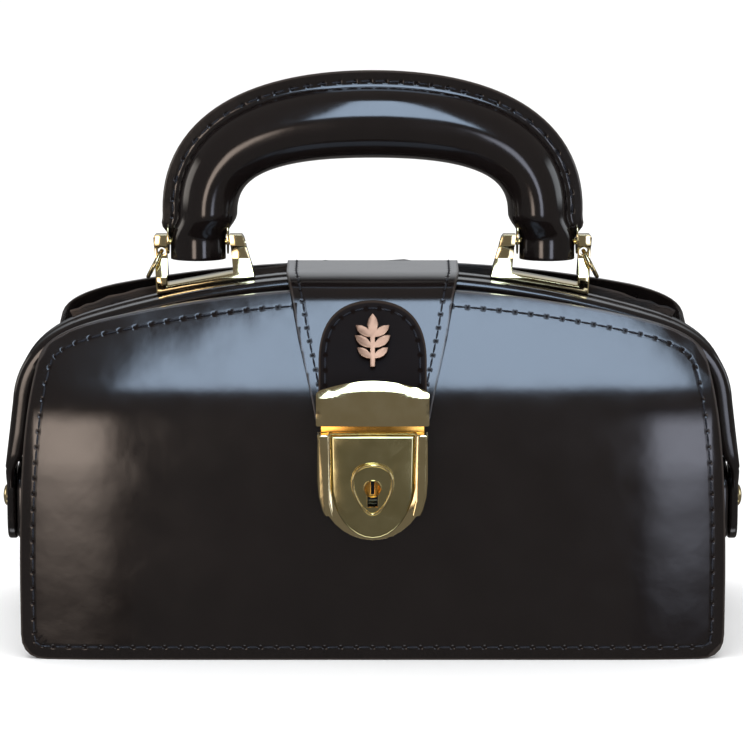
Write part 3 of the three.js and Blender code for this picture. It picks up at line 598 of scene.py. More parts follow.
# ---- Base ----
# A stiff board under the leather bottom, whose flanges are folded up and sewn into the panels' foot.
card_finish, tree, shader = new_material("grey_board")
pulp = noise(tree, object_place(tree), 500, 6)
greys = mixed(tree, pulp, (0.16, 0.13, 0.09, 1), (0.28, 0.23, 0.17, 1))
tree.links.new(greys, shader.inputs["Base Color"])
shader.inputs["Roughness"].default_value = 0.85
refined("base_board", "base_stiffener", card_finish, "board", 0.0005)
plain_leather = polished_leather("plain_leather", wave=1.6, shine=0.2)
refined("base_leather", "base_tray", plain_leather, "leather", 0.0006, 3)

# ---- Side leather ----
# One soft piece a side, folded inwards down the middle so that the mouth can open. It joins both
# panels.
FOLD_X = 0.111
SIDE_X = 0.1205


def side_half(z):
    return -face_y(z, -PANEL_THICK - 0.0006)


def side_x(across, z):
    """The side leather's place: a soft inward fold in the middle, drawn in with the panels above."""
    open_out = abs(across) ** 1.25
    middle = FOLD_X + 0.0016 * math.cos(z * 34)
    edge = SIDE_X
    if z > 0.085:
        edge -= 0.010 * ((z - 0.085) / 0.030) ** 1.6
        middle -= 0.004 * (z - 0.085) / 0.030
    crease = 0.0008 * math.sin(z * 95 + across * 5) * (1 - abs(across))
    return middle + (edge - middle) * open_out + crease


side_leather = polished_leather("side_leather", wave=2.2, shine=0.17)
for side, place in ((1, "right"), (-1, "left")):
    bm = bmesh.new()
    bmesh.ops.create_grid(bm, x_segments=26, y_segments=30, size=1)
    for vert in bm.verts:
        across, rise = vert.co.x, (vert.co.y + 1) / 2
        z = 0.004 + rise * 0.101
        vert.co = Vector((side * side_x(across, z), across * side_half(z), z))
    bmesh.ops.recalc_face_normals(bm, faces=bm.faces)
    if sum(f.normal.x for f in bm.faces) * side < 0:
        bmesh.ops.reverse_faces(bm, faces=bm.faces)
    bmesh.ops.solidify(bm, geom=bm.faces[:], thickness=0.0012)
    bmesh.ops.recalc_face_normals(bm, faces=bm.faces)
    gusset = as_object(bm, f"side_{place}", side_leather)
    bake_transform(gusset, "root", "front_wall", start=(0, 0.004, 0), end=(0, -0.050, 0))
    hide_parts(f"gusset_{place}")

# ---- Mouth rims ----
# Two steel half frames covered in leather. They meet along the middle of the mouth, run down both
# sides as flat arms and overlap there as round-ended tabs, one outside the other.
RIM_TOP = 0.1305
ARCH_RADIUS = 0.350
ARM_OUTER = 0.1343
RIM_THICK = 0.0072
RIM_FRONT = 0.012
RIM_MEET = 0.0005
PIVOT_Z = 0.047


def cubic(corners, steps):
    """Points of a cubic curve with the four given corners, without its start."""
    found = []
    for i in range(1, steps + 1):
        t = i / steps
        shares = ((1 - t) ** 3, 3 * t * (1 - t) ** 2, 3 * t * t * (1 - t), t**3)
        found.append(tuple(sum(w * c[k] for w, c in zip(shares, corners)) for k in (0, 1)))
    return found


def rim_line(end_z):
    """The rims' outer line from the middle of the top down the right-hand arm, in X and Z."""
    slope = math.asin(0.103 / ARCH_RADIUS)
    points = []
    for i in range(19):
        angle = slope * i / 18
        points.append((ARCH_RADIUS * math.sin(angle), RIM_TOP - ARCH_RADIUS * (1 - math.cos(angle))))
    start = points[-1]
    pull = (start[0] + 0.017 * math.cos(slope), start[1] - 0.017 * math.sin(slope))
    points += cubic((start, pull, (0.1302, 0.101), (0.1313, 0.084)), 16)
    points += [(0.1327, 0.073), (0.1337, 0.0652), (ARM_OUTER, 0.060), (ARM_OUTER, 0.0575)]
    points += [(ARM_OUTER, 0.0545), (ARM_OUTER, 0.030)]
    kept = [p for p in points if p[1] > end_z]
    (ax, az), (bx, bz) = kept[-1], points[len(kept)]
    t = (az - end_z) / (az - bz)
    return kept + [(ax + t * (bx - ax), end_z)]


def whole_rim(end_z):
    """The whole line from the foot of the left-hand arm over the top to the right-hand one."""
    right = rim_line(end_z)
    return [(-x, z) for x, z in reversed(right[1:])] + right


def line_frames(points):
    """Each point of a line in XZ with the direction that points to the line's right-hand side."""
    found = []
    for i, (x, z) in enumerate(points):
        ax, az = points[max(0, i - 1)]
        bx, bz = points[min(len(points) - 1, i + 1)]
        length = math.hypot(bx - ax, bz - az)
        found.append((Vector((x, 0, z)), Vector(((bz - az) / length, 0, -(bx - ax) / length))))
    return found


def neighbours(items, closed):
    return list(zip(items, items[1:] + items[:1] if closed else items[1:]))


def sweep(frames, profile_at, closed=True, caps=True):
    """Extrudes a profile along a line. profile_at(i) gives (inwards, y) points for the i-th frame."""
    bm = bmesh.new()
    run_layer = bm.verts.layers.float.new("run")
    inset_layer = bm.verts.layers.float.new("inset")
    run, before, verts, edges = 0.0, None, [], []
    for i, (origin, inward) in enumerate(frames):
        profile = profile_at(i)
        if before is None:
            verts = [bm.verts.new((0, 0, 0)) for _ in profile]
            edges = first = [bm.edges.new(pair) for pair in neighbours(verts, closed)]
        else:
            run += (origin - before).length
            grown = bmesh.ops.extrude_edge_only(bm, edges=edges)["geom"]
            fresh = {v for v in grown if isinstance(v, bmesh.types.BMVert)}
            verts = [
                next(e.other_vert(v) for e in v.link_edges if e.other_vert(v) in fresh) for v in verts
            ]
            edges = [bm.edges.get(pair) for pair in neighbours(verts, closed)]
        before = origin
        for vert, (inwards, y, *from_edge) in zip(verts, profile):
            vert.co = origin + inward * inwards + Vector((0, y, 0))
            vert[run_layer] = run
            vert[inset_layer] = from_edge[0] if from_edge else inwards
    if caps and closed:
        bmesh.ops.contextual_create(bm, geom=first)
        bmesh.ops.contextual_create(bm, geom=edges)
    bmesh.ops.recalc_face_normals(bm, faces=bm.faces)
    return bm


def rounded_bar(low, high, front, back, radius, steps=4):
    """A rounded oblong as (inwards, y) points."""
    centres = [
        (high - radius, back - radius, 0), (low + radius, back - radius, 1),
        (low + radius, front + radius, 2), (high - radius, front + radius, 3),
    ]
    points = []
    for a, b, quarter in centres:
        for i in range(steps + 1):
            angle = math.pi / 2 * (quarter + i / steps)
            points.append((a + radius * math.cos(angle), b + radius * math.sin(angle)))
    return points


rim_leather = polished_leather("rim_leather", wave=1.1, shine=0.15)
arm_frames = line_frames(whole_rim(0.0520))
for name, body, turn in (("front", "front_mouth", 1), ("rear", "root", -1)):

    def rim_profile(i):
        z = arm_frames[i][0].z
        step = min(1.0, max(0.0, (0.072 - z) / 0.012)) ** 2
        low = 0.0036 * step if turn < 0 else 0.0
        high = RIM_THICK - (0.0036 * step if turn > 0 else 0)
        sunk = 0.0007 * min(1.0, max(0.0, (0.0600 - z) / 0.0025))
        low, high = low + sunk, high - sunk
        crown = 0.0004 * math.sin(i * 0.8) * (1 - step)
        return [
            (a, turn * b) for a, b in rounded_bar(
                low, high + crown * 0.3, -RIM_FRONT + sunk, -RIM_MEET - sunk, 0.0022 - 0.0012 * step,
            )
        ]

    bm = sweep(arm_frames, rim_profile)
    fit(as_object(bm, f"{name}_rim_cover", rim_leather), body, "leather", f"{name}_rim")
    tab = [(-0.0112, 0.0592)]
    tab += bend([(-0.0112, 0.0592), (-0.0112, 0.0560), (-0.0085, 0.0530)], 4)
    tab += [(-0.0085, 0.0395)]
    tab += bend([(-0.0085, 0.0395), (-0.0085, 0.0310), (0.0, 0.0310)], 7)
    tab += bend([(0.0, 0.0310), (0.0085, 0.0310), (0.0085, 0.0395)], 7)
    tab += [(0.0085, 0.050)]
    tab += bend([(0.0085, 0.050), (0.0080, 0.0565), (-0.0012, 0.0592)], 6)
    for side, place in ((1, "right"), (-1, "left")):
        inner, outer = (0.13100, ARM_OUTER) if turn > 0 else (0.1271, 0.1307)
        bm = bmesh.new()
        leaf = bm.faces.new([bm.verts.new((side * outer, turn * y, z)) for y, z in tab])
        bm.normal_update()
        if leaf.normal.x * side < 0:
            leaf.normal_flip()
        give_thickness(bm, outer - inner, 0.0009, 3)
        fit(as_object(bm, f"{name}_tab_{place}", rim_leather), body, "leather")

# ---- Mouth strips ----
# Soft leather that closes the gap between each panel's top edge and its rim, sagging a little.
soft_leather = polished_leather("soft_leather", wave=2.6, shine=0.2)
strip_frames = line_frames(whole_rim(0.1000))
for name, turn in (("front", 1), ("rear", -1)):
    high_y = -0.0124 if turn > 0 else -0.0176

    def strip_profile(i):
        origin = strip_frames[i][0]
        shoulder = min(1.0, max(0.0, (abs(origin.x) - 0.088) / 0.030))
        low_y = face_y(origin.z - 0.0035 - 0.002 * shoulder, -PANEL_THICK)
        points = []
        for k in range(11):
            t = k / 10
            sag = 0.0028 * math.sin(math.pi * t) + 0.0003 * math.sin(i * 1.3 + k)
            tuck = 0.0062 * shoulder * (1 - t) ** 1.3
            points.append((0.0035 + tuck + sag, turn * (low_y + (high_y - low_y) * t)))
        return points

    bm = sweep(strip_frames, strip_profile, closed=False, caps=False)
    if sum(face.normal.z for face in bm.faces) < 0:
        bmesh.ops.reverse_faces(bm, faces=bm.faces)
    bmesh.ops.solidify(bm, geom=bm.faces[:], thickness=0.0010)
    bmesh.ops.recalc_face_normals(bm, faces=bm.faces)
    strip = as_object(bm, f"{name}_mouth_leather", soft_leather)
    if turn > 0:
        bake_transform(strip, "front_wall", "front_strip", start=(0, -0.036, 0), end=(0, -0.013, 0))
    else:
        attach(strip, "root")
    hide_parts(f"{name}_mouth_strip")

# ---- Raw-edged strip ----
# An unlined strip of thick hide that stands up behind the rear rim; its cut edge is left fibrous.
raw_hide, tree, shader = new_material("raw_hide")
stretch = add_node(tree, "Mapping", Vector=object_place(tree), Scale=(0.35, 1, 1)).outputs["Vector"]
tan = add_node(tree, "ValToRGB", Fac=noise(tree, stretch, 130))
for stop, position, colour in zip(
    tan.color_ramp.elements, (0.35, 0.72), ((0.006, 0.005, 0.005, 1), (0.060, 0.036, 0.022, 1)),
):
    stop.position, stop.color = position, colour
tree.links.new(tan.outputs["Color"], shader.inputs["Base Color"])
add_bump(tree, shader, noise(tree, stretch, 1400, 6, 0.7), 0.0008)
shader.inputs["Roughness"].default_value = 0.82
back_frames = [f for f in line_frames(whole_rim(0.1075)) if abs(f[0].x) < 0.1141]


def ragged(i, k):
    """A small uneven step of the cut edge, different at each place."""
    return 0.00035 * math.sin(i * 2.7 + k * 5.1) + 0.00025 * math.sin(i * 7.3 + k * 2.2)


def back_profile(i):
    top = -0.0015 + ragged(i, 0)
    return [
        (0.0056, 0.0165), (0.0056, 0.0187), (top + 0.0004, 0.0188 + ragged(i, 1) * 0.3),
        (top, 0.0181), (top + ragged(i, 2) * 0.5, 0.0171), (top + 0.0005, 0.0164 + ragged(i, 3) * 0.3),
    ]


bm = sweep(back_frames, back_profile)
fit(as_object(bm, "raw_back_strip", raw_hide), "root", "raw_leather", "back_strip")

# ---- Metal finishes ----
# The fittings are brass-plated and buffed; the frames, washers and rivets inside are plain steel.
brushing, given, result = group_with(
    "buffed_metal",
    [
        ("Dark", "NodeSocketColor", (0.62, 0.43, 0.16, 1)),
        ("Bright", "NodeSocketColor", (0.80, 0.60, 0.28, 1)),
    ],
    [("Colour", "NodeSocketColor"), ("Polish", "NodeSocketFloat"), ("Height", "NodeSocketFloat")],
)
place = object_place(brushing)
cloud = noise(brushing, place, 160, 4)
plating = mixed(brushing, cloud, given.outputs["Dark"], given.outputs["Bright"])
brushing.links.new(plating, result.inputs["Colour"])
brushing.links.new(joined(brushing, "MULTIPLY_ADD", cloud, 0.10, 0.03), result.inputs["Polish"])
cast_waves = joined(brushing, "MULTIPLY", cloud, 0.00004)
scratch = joined(brushing, "MULTIPLY_ADD", noise(brushing, place, 2600), 0.0000012, cast_waves)
brushing.links.new(scratch, result.inputs["Height"])


def metal(name, dark, bright, more_rough=0.0):
    material, tree, shader = new_material(name)
    buffed = use_group(tree, brushing, Dark=dark, Bright=bright)
    shader.inputs["Metallic"].default_value = 1
    tree.links.new(buffed.outputs["Colour"], shader.inputs["Base Color"])
    dull = joined(tree, "ADD", buffed.outputs["Polish"], more_rough)
    tree.links.new(dull, shader.inputs["Roughness"])
    add_bump(tree, shader, buffed.outputs["Height"])
    return material


gold = metal("polished_brass", (0.78, 0.63, 0.31, 1), (0.92, 0.79, 0.48, 1))
# A darker copy of the brass for the lock's shield and key plate: painted shade for their front faces.
shaded_brass = metal("brass_painted_shade", (0.50, 0.43, 0.20, 1), (0.72, 0.64, 0.34, 1), 0.03)
rose_gold = metal("rose_plating", (0.12, 0.060, 0.036, 1), (0.38, 0.21, 0.13, 1), 0.24)
# A darker, warmer amber copy of the brass for the key barrel and the case's lip: painted shade where they sit
# in the keyhole and in the gap under the hasp.
recess_shade_brass = metal("brass_recess_shade", (0.62, 0.30, 0.05, 1), (0.90, 0.50, 0.12, 1), 0.1)
steel = metal("plain_steel", (0.36, 0.36, 0.37, 1), (0.55, 0.55, 0.56, 1), 0.2)
for name in ("front_frame", "rear_frame"):
    refined(name, f"{name}_steel", steel, "steel", 0)

# ---- Hinge rivets ----
# A domed brass rivet through the four tabs at each side, with a steel washer behind.
for side, place in ((1, "right"), (-1, "left")):
    bm = bmesh.new()
    face = ARM_OUTER + 0.0003
    turned = [(0, 0.1247), (0.0031, 0.1249), (0.0031, 0.1256), (0.002, 0.1257), (0.002, face), (0.0040, face)]
    turned += [(0.0040, face + 0.0003), (0.0037, face + 0.0008), (0.0032, face + 0.00115)]
    turned += [(0.0022, face + 0.0015), (0.0011, face + 0.00168), (0, face + 0.0017)]
    line = [bm.verts.new((side * x, r, PIVOT_Z)) for r, x in turned]
    edges = [bm.edges.new(pair) for pair in zip(line, line[1:])]
    bmesh.ops.spin(
        bm, geom=line + edges, cent=(0, 0, PIVOT_Z), axis=(1, 0, 0), angle=math.tau, steps=28, use_merge=True,
    )
    bmesh.ops.remove_doubles(bm, verts=bm.verts, dist=1e-6)
    bmesh.ops.recalc_face_normals(bm, faces=bm.faces)
    fit(as_object(bm, f"side_rivet_{place}", gold), "root", "brass_plating", f"hinge_pin_{place}")
    refined(f"hinge_washer_{place}", f"side_washer_{place}", steel, "steel", 0.0001, 1)

# ---- Handle brackets and strap rings ----
# Two cast brass brackets riveted through the rear rim, each with two ears that carry the handle's pin;
# a wire ring for a shoulder strap hangs in each outer ear.
RING_RADIUS = 0.0054
RING_HANG = math.radians(28)
for place, side in (("right", 1), ("left", -1)):
    refined(f"bracket_{place}", f"ear_bracket_{place}", gold, "brass_plating", 0.00045, 3, 24)
    refined(f"handle_pin_{place}", f"cross_pin_{place}", gold, "brass_plating", 0.0003)
    refined(f"bracket_rivet_{place}", f"foot_rivet_{place}", steel, "steel", 0.0002, 1)
    bm = bmesh.new()
    bmesh.ops.create_circle(bm, segments=14, radius=0.00075)
    upright = Matrix.Translation((RING_RADIUS, 0, 0)) @ Matrix.Rotation(math.pi / 2, 4, "X")
    bmesh.ops.transform(bm, matrix=upright, verts=bm.verts)
    wire = bm.verts[:] + bm.edges[:]
    bmesh.ops.spin(bm, geom=wire, cent=(0, 0, 0), axis=(0, 0, 1), angle=math.tau, steps=44, use_merge=True)
    bmesh.ops.transform(bm, matrix=Matrix.Rotation(math.pi / 2, 4, "Y"), verts=bm.verts)
    bmesh.ops.recalc_face_normals(bm, faces=bm.faces)
    hang = Matrix.Translation((side * 0.0773, 0.0063, 0.1372)) @ Matrix.Rotation(-side * RING_HANG, 4, "Y")
    bmesh.ops.transform(bm, matrix=hang @ Matrix.Translation((0, 0, -RING_RADIUS)), verts=bm.verts)
    ring = as_object(bm, f"wire_ring_{place}", gold)
    fit(ring, f"ring_{place}", "brass_plating", f"strap_ring_{place}")

# ---- Handle ----
# Padded tube of polished leather over a core. The cover closes on the outer side of the arch, where
# its two edges are glued, sewn through with one line of thread and pared to a flat welt.
HANDLE_Y = 0.0063
LEG_X = 0.0604
HANDLE_TOP = 0.1847
LEG_FOOT = 0.1344
SPRING_Z = 0.152
WELT_REACH = 0.0056
WELT_HALF = 0.0016


def reading(reach, run):
    """Which step of a line a distance falls in, and how far into that step, from running lengths."""
    k = max(0, min(len(reach) - 2, next((j for j, r in enumerate(reach) if r > run), len(reach)) - 1))
    return k, (run - reach[k]) / (reach[k + 1] - reach[k])


def running(points):
    reach = [0.0]
    for a, b in zip(points, points[1:]):
        reach.append(reach[-1] + math.dist(a, b))
    return reach


def handle_centre():
    half = [(-LEG_X, LEG_FOOT + (SPRING_Z - LEG_FOOT) * i / 12) for i in range(12)]
    corners = ((-LEG_X, SPRING_Z), (-LEG_X, 0.176), (-0.036, HANDLE_TOP), (0.0, HANDLE_TOP))
    half += [corners[0]] + cubic(corners, 30)
    return half + [(-x, z) for x, z in reversed(half[:-1])]


handle_line = handle_centre()
handle_frames = [
    (origin + Vector((0, HANDLE_Y, 0)), inward) for origin, inward in line_frames(handle_line)
]
handle_run = running([origin for origin, _ in handle_frames])


def tube_half(run):
    return 0.0107 + 0.0025 * math.sin(math.pi * run / handle_run[-1]) ** 2


def welt_reach(z):
    """How far the welt stands out: full on the arch, fading to nothing between the bracket's ears."""
    t = min(1.0, max(0.0, (z - 0.1415) / 0.006))
    return WELT_REACH * t * t * (3 - 2 * t)


def handle_profile(i):
    z, half = handle_frames[i][0].z, tube_half(handle_run[i])
    foot = min(1.0, max(0.0, (0.1510 - z) / 0.009))
    foot = foot * foot * (3 - 2 * foot)
    deep = half * (1 - foot) + 0.0078 * foot
    wide = half * (1 - foot) + 0.0101 * foot
    shift = -0.0035 * foot
    reach = welt_reach(z) * (1 - 0.25 * foot)
    points = []
    opening = math.radians(17)
    for k in range(33):
        angle = math.pi + opening + (math.tau - 2 * opening) * k / 32
        points.append((wide * math.cos(angle) + shift, deep * math.sin(angle)))
    root_in = -wide * math.cos(opening) + shift
    ease = reach / WELT_REACH
    thick = WELT_HALF * ease + 0.0004 * (1 - ease)
    near, far = root_in - 0.0004, -wide - reach + shift
    back_side = [(near, thick * 1.25), (near - 0.0007 * ease, thick)]
    tip = [(far + 0.0006, thick), (far + 0.00015, thick * 0.72), (far, 0.0)]
    middle = [(near + (far - near) * share, thick) for share in (0.3, 0.5, 0.7, 0.85)]
    upper = back_side + middle + tip
    lower = [(a, -b) for a, b in reversed(upper[:-1])]
    return [(a, b, a - far if ease > 0.5 else 0.02) for a, b in points + upper + lower]


SEWN_FROM_EDGE = 0.0039
handle_leather = polished_leather("handle_leather", line=SEWN_FROM_EDGE, pitch=0.0052, wave=0.9, depth=0.6)
bm = sweep(handle_frames, handle_profile)
ends = [face for face in bm.faces if len(face.verts) > 20]
ease(bm, [edge for face in ends for edge in face.edges], 0.0011, 3)
grip = as_object(bm, "handle_grip", handle_leather)
fit(grip, "handle", "leather", "handle_cover")
for name in ("left_inner", "left_outer", "right_inner", "right_outer"):
    refined(f"handle_end_{name}", f"eye_plate_{name}", gold, "brass_plating", 0.00012, 1)
refined("handle_core", "handle_tube", steel, "steel", 0)


def sew_line(bm, points, outs, pitch, width=0.00075):
    """Stitches along an open line in space; outs gives the outward direction at each point."""
    reach = running(points)
    count = round(reach[-1] / pitch)

    def at_run(run):
        k, t = reading(reach, run)
        return points[k].lerp(points[k + 1], t), outs[k].lerp(outs[k + 1], t).normalized()

    for i in range(count):
        start, out = at_run((i + 0.13) * reach[-1] / count)
        end, _ = at_run((i + 0.87) * reach[-1] / count)
        add_stitch(bm, start, end, out, width)


bm = bmesh.new()
for face in (-1, 1):
    line, outs = [], []
    for i, (origin, inward) in enumerate(handle_frames):
        if origin.z > 0.1495:
            edge = -tube_half(handle_run[i]) - welt_reach(origin.z)
            lift = Vector((0, face * (WELT_HALF + 0.0001), 0))
            line.append(origin + inward * (edge + SEWN_FROM_EDGE) + lift)
            outs.append(Vector((0, face, 0)))
    sew_line(bm, line, outs, 0.0052)
fit(as_object(bm, "handle_thread", thread_finish), "handle", "leather")

# ---- Strap ----
# One wide strap, clamped behind the rear rim, laid over the mouth and down the panel to the hasp.
# Its front half lifts, so the leather bends just in front of the rims; sewn along both edges.
STRAP_THICK = 0.0022
STRAP_GAP = 0.0009
STRAP_FOOT = 0.0864
STRAP_LEVEL = 0.1332
STRAP_IN = 0.0034
STRAP_STILL = (0, -0.0125, 0.132)
STRAP_LIFTS = (0, -0.0255, 0.132)


def strap_path():
    """The strap's outer face from its lower end up the panel, over the mouth and down behind."""
    line = []
    for i in range(25):
        z = STRAP_FOOT + (0.1262 - STRAP_FOOT) * i / 24
        line.append((face_y(z, STRAP_GAP + STRAP_THICK), z))
    y, z = line[-1]
    dy, dz = line[-1][0] - line[-2][0], line[-1][1] - line[-2][1]
    corners = ((y, z), (y + dy * 2.6, z + dz * 2.6), (-0.0310, STRAP_LEVEL), (-0.0170, STRAP_LEVEL))
    line += cubic(corners, 16)
    line += [(-0.0170 + 0.0260 * i / 14, STRAP_LEVEL) for i in range(1, 15)]
    line += bend([(0.0090, STRAP_LEVEL), (0.0150, STRAP_LEVEL - 0.0002), (0.0157, 0.1265)], 10)
    return line + [(0.0157, 0.1225), (0.0156, 0.1182)]


over = strap_path()
over_run = running(over)


def on_strap(x, run, out=0.0):
    """A place on the strap from its distance across and along, with the outward direction."""
    k, t = reading(over_run, run)
    y = over[k][0] + t * (over[k + 1][0] - over[k][0])
    z = over[k][1] + t * (over[k + 1][1] - over[k][1])
    low, high = over[max(0, k - 1)], over[min(len(over) - 1, k + 2)]
    outward = Vector((0, -(high[1] - low[1]), high[0] - low[0])).normalized()
    return Vector((x, y, z)) + outward * out, outward


def run_at(z):
    return over_run[next(j for j, (_, level) in enumerate(over) if level >= z)]


full, low_run, high_run = over_run[-1], run_at(0.092), run_at(0.116)
wide_run = run_at(0.1329)
right = [(0.0, 0.0), (0.0198, 0.0), (0.0212, low_run), (0.0264, high_run)]
shoulder = (0.0290, high_run + (wide_run - high_run) / 2)
right += bend([shoulder, (0.0306, wide_run), (0.0310, wide_run + 0.008)], 6)
right += [(0.0314, full), (0.0, full)]
strap_outline = both_halves(right)
bm = cut_sheet(strap_outline, [0.0008, 0.0012, 0.0010, 0.0010, 0.0012], 0.0016)
for vert in bm.verts:
    vert.co, _ = on_strap(vert.co.x, vert.co.z)
bm.normal_update()
give_thickness(bm, STRAP_THICK, 0.0005, 3)
STRAP_PITCH = even_pitch(strap_outline, 0.0054)
strap_leather = polished_leather("strap_leather", line=STRAP_IN, pitch=STRAP_PITCH, wave=0.7, depth=0.5)
strap = as_object(bm, "lock_strap", strap_leather)
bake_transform(strap, "root", "flap", start=STRAP_STILL, end=STRAP_LIFTS)
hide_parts("strap_rear", "strap_front")
bm = bmesh.new()
sew(bm, strap_outline, STRAP_IN, STRAP_PITCH, lambda x, run: on_strap(x, run, 0.00005),
    keep=lambda x, run: 0.008 < run < full - 0.010)
thread = as_object(bm, "strap_thread", thread_finish)
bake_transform(thread, "root", "flap", start=STRAP_STILL, end=STRAP_LIFTS)

# ---- Strap tab ----
# A second layer with a round top, sewn onto the strap's lower end to stiffen it under the hasp.
TAB_OUT = STRAP_GAP + STRAP_THICK + 0.0003
TAB_THICK = 0.0015
TAB_IN = 0.0023
right = [(0.0, STRAP_FOOT), (0.0190, STRAP_FOOT), (0.0190, 0.108)]
right += bend([(0.0190, 0.108), (0.0186, 0.1262), (0.0, 0.1266)], 16)
tab_outline = both_halves(right)
bm = cut_sheet(tab_outline, [0.0007, 0.0008, 0.0008, 0.0008, 0.0010], 0.0024)
lay_on_front(bm, TAB_OUT + TAB_THICK, roll=False)
give_thickness(bm, TAB_THICK, 0.0005, 3)
TAB_PITCH = even_pitch(tab_outline, 0.0052)
tab_leather = polished_leather(
    "tab_leather", line=TAB_IN, pitch=TAB_PITCH, wave=0.7, depth=0.5, shine=0.3, mirror=0.02, coat=0.0,
)
fit(as_object(bm, "tab_overlay", tab_leather), "flap", "leather", "strap_tab")
bm = bmesh.new()
sew(bm, tab_outline, TAB_IN, TAB_PITCH, front_surface(TAB_OUT + TAB_THICK + 0.00005, roll=False),
    keep=lambda x, z: z > 0.098)
fit(as_object(bm, "tab_thread", thread_finish), "flap", "leather")

# ---- Hasp and ornament ----
# A cast brass plate riveted over the strap's end: crowned along its arched top and bevelled below. A
# small cast sprig in a rosier plating decorates the tab.
HASP_HALF = 0.0198
HASP_BOTTOM = 0.0853
HASP_TILT = math.radians(15)
for node, name, finish, width in (
    ("hasp_backing", "hasp_back", steel, 0.0002), ("hasp_rivet_left", "hasp_shank_left", steel, 0.0002),
    ("hasp_rivet_right", "hasp_shank_right", steel, 0.0002), ("ornament", "cast_sprig", rose_gold, 0.0004),
):
    refined(node, name, finish, "brass_plating" if finish is rose_gold else "steel", width, 3)


def crowned_plate(outline, rings, thick, edge_drop):
    """A cast plate in the XZ plane, front at y = 0, whose face falls away by edge_drop(inset, z)."""
    bm = cut_sheet(outline, rings, 0.0022)
    inset = bm.verts.layers.float["inset"]
    for vert in bm.verts:
        vert.co.y = edge_drop(vert[inset], vert.co.z)
    face_edges = [edge for edge in bm.edges if edge.is_boundary]
    walls = bmesh.ops.extrude_edge_only(bm, edges=face_edges)["geom"]
    for vert in walls:
        if isinstance(vert, bmesh.types.BMVert):
            vert.co.y = thick
    bmesh.ops.holes_fill(bm, edges=[e for e in bm.edges if e.is_boundary], sides=0)
    bmesh.ops.recalc_face_normals(bm, faces=bm.faces)
    return bm


right = [(0.0, 0.0), (HASP_HALF - 0.0004, 0.0), (HASP_HALF, 0.0004), (HASP_HALF, 0.0112)]
right += bend([(HASP_HALF, 0.0112), (HASP_HALF - 0.0003, 0.0123), (HASP_HALF - 0.0022, 0.0129)], 5)
right += bend([(HASP_HALF - 0.0022, 0.0129), (0.0080, 0.0159), (0.0, 0.0159)], 12)
hasp_outline = both_halves(right)


def hasp_drop(inset, z):
    """A soft crown along the arched top, a flat bevel along the bottom, eased sides."""
    if z > 0.0120:
        return 0.0009 * max(0.0, 1 - inset / 0.0024) ** 2
    return max(0.0010 * max(0.0, 1 - z / 0.0011), 0.0002 * max(0.0, 1 - inset / 0.0004))


bm = crowned_plate(hasp_outline, [0.0003, 0.0004, 0.0004, 0.0006, 0.0007, 0.0007], 0.0026, hasp_drop)
tongue = Matrix.Translation((0, 0.0030, 0.0014)) @ Matrix.Diagonal((0.010, 0.004, 0.0022, 1))
bmesh.ops.create_cube(bm, size=1, matrix=tongue)
lean = Matrix.Translation((0, -0.0643, HASP_BOTTOM)) @ Matrix.Rotation(-HASP_TILT, 4, "X")
bmesh.ops.transform(bm, matrix=lean @ Matrix.Translation((0, -0.0026, 0)), verts=bm.verts)
fit(as_object(bm, "hasp_face", gold), "flap", "brass_plating", "hasp_plate")

# ---- Lock ----
# A brass case with two raised side rims, and a shield that slides down between them against a spring.
# The key plate has the shape of a pick, with a raised bead round it and round the keyhole.
for node, name, finish, width in (
    ("lock_case", "lock_body", gold, 0.0006), ("key_cylinder", "key_barrel", recess_shade_brass, 0.0002),
    ("lock_spring", "return_spring", steel, 0.0001), ("lock_backplate", "lock_inside_plate", steel, 0.0002),
    ("lock_rivet_left", "case_rivet_left", steel, 0.0002),
    ("lock_rivet_right", "case_rivet_right", steel, 0.0002),
    ("lock_slider", "lock_shield", shaded_brass, 0.0008),
):
    refined(node, name, finish, "steel" if finish is steel else "brass_plating", width, 3)
KEY_Z = 0.0634
KEY_PLATE_Y = -0.0660
KEY_RADIUS = 0.0030
pick = [(0.0, 0.0543)]
pick += cubic(((0.0, 0.0543), (0.0034, 0.0543), (0.0073, 0.062), (0.0070, 0.066)), 12)
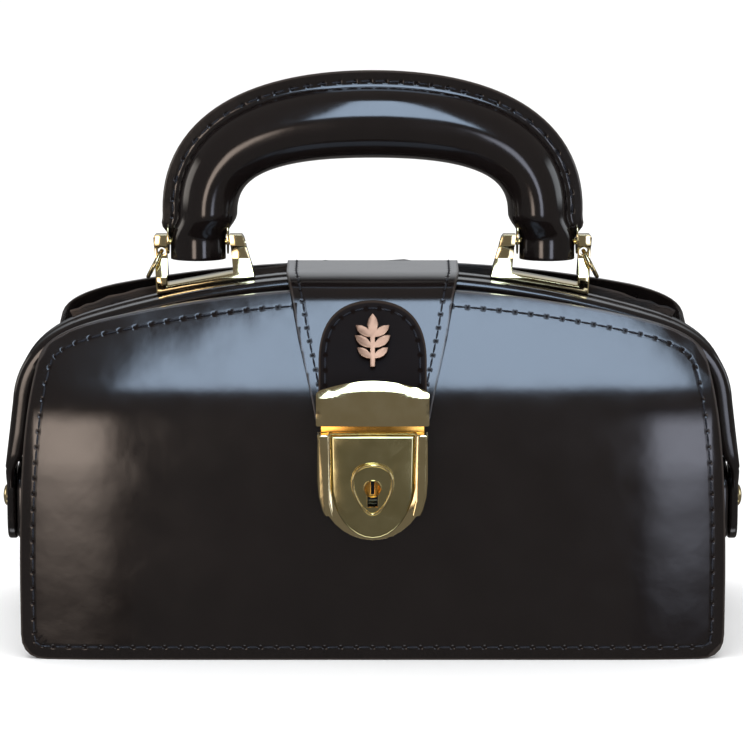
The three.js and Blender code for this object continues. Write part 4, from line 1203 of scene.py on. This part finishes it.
pick += cubic(((0.0070, 0.066), (0.0066, 0.0702), (0.0036, 0.0718), (0.0, 0.0718)), 12)
pick_loop = both_halves(pick)
keyhole = [(-0.0019, KEY_Z - 0.0066), (0.0019, KEY_Z - 0.0066)]
for i in range(25):
    angle = math.radians(-51 + 282 * i / 24)
    keyhole.append((KEY_RADIUS * math.cos(angle), KEY_Z + KEY_RADIUS * math.sin(angle)))
bm = bmesh.new()
for loop in (pick_loop, keyhole):
    corners = [bm.verts.new((x, KEY_PLATE_Y, z)) for x, z in loop]
    for pair in neighbours(corners, True):
        bm.edges.new(pair)
bmesh.ops.triangle_fill(bm, use_beauty=True, use_dissolve=False, edges=bm.edges[:], normal=(0, -1, 0))
if sum(face.normal.y for face in bm.faces) > 0:
    bmesh.ops.reverse_faces(bm, faces=bm.faces)
bmesh.ops.solidify(bm, geom=bm.faces[:], thickness=0.0008)
bmesh.ops.recalc_face_normals(bm, faces=bm.faces)
# The key plate uses the darker copy of the brass, painted shade.
fit(as_object(bm, "key_plate", shaded_brass), "slider", "brass_plating", "escutcheon")


def add_bead(name, loop, across):
    """A raised bead along a closed loop on the key plate, across times as wide as the widest."""
    bead = []
    for k in range(10):
        angle = math.tau * k / 10
        bead.append((0.00050 * across * math.cos(angle), KEY_PLATE_Y + 0.00060 * math.sin(angle)))
    bm = sweep(line_frames(loop + loop[:2])[1:], lambda i: bead, caps=False)
    bmesh.ops.remove_doubles(bm, verts=bm.verts, dist=2e-5)
    bmesh.ops.recalc_face_normals(bm, faces=bm.faces)
    fit(as_object(bm, name, gold), "slider", "brass_plating")


add_bead("keyhole_lip", keyhole, 0.5)

# The case's upper lip, seen in the gap under the hasp, in a darker amber copy of the brass: painted shade for
# the gap.
bm = bmesh.new()
lip = Matrix.Translation((0, -0.0613, 0.0838)) @ Matrix.Diagonal((0.0366, 0.0018, 0.0030, 1))
bmesh.ops.create_cube(bm, size=1, matrix=lip)
ease(bm, bm.edges[:], 0.0003, 3)
fit(as_object(bm, "case_lip", recess_shade_brass), "front_wall", "brass_plating")
add_bead("key_bead", pick_loop, 1.0)
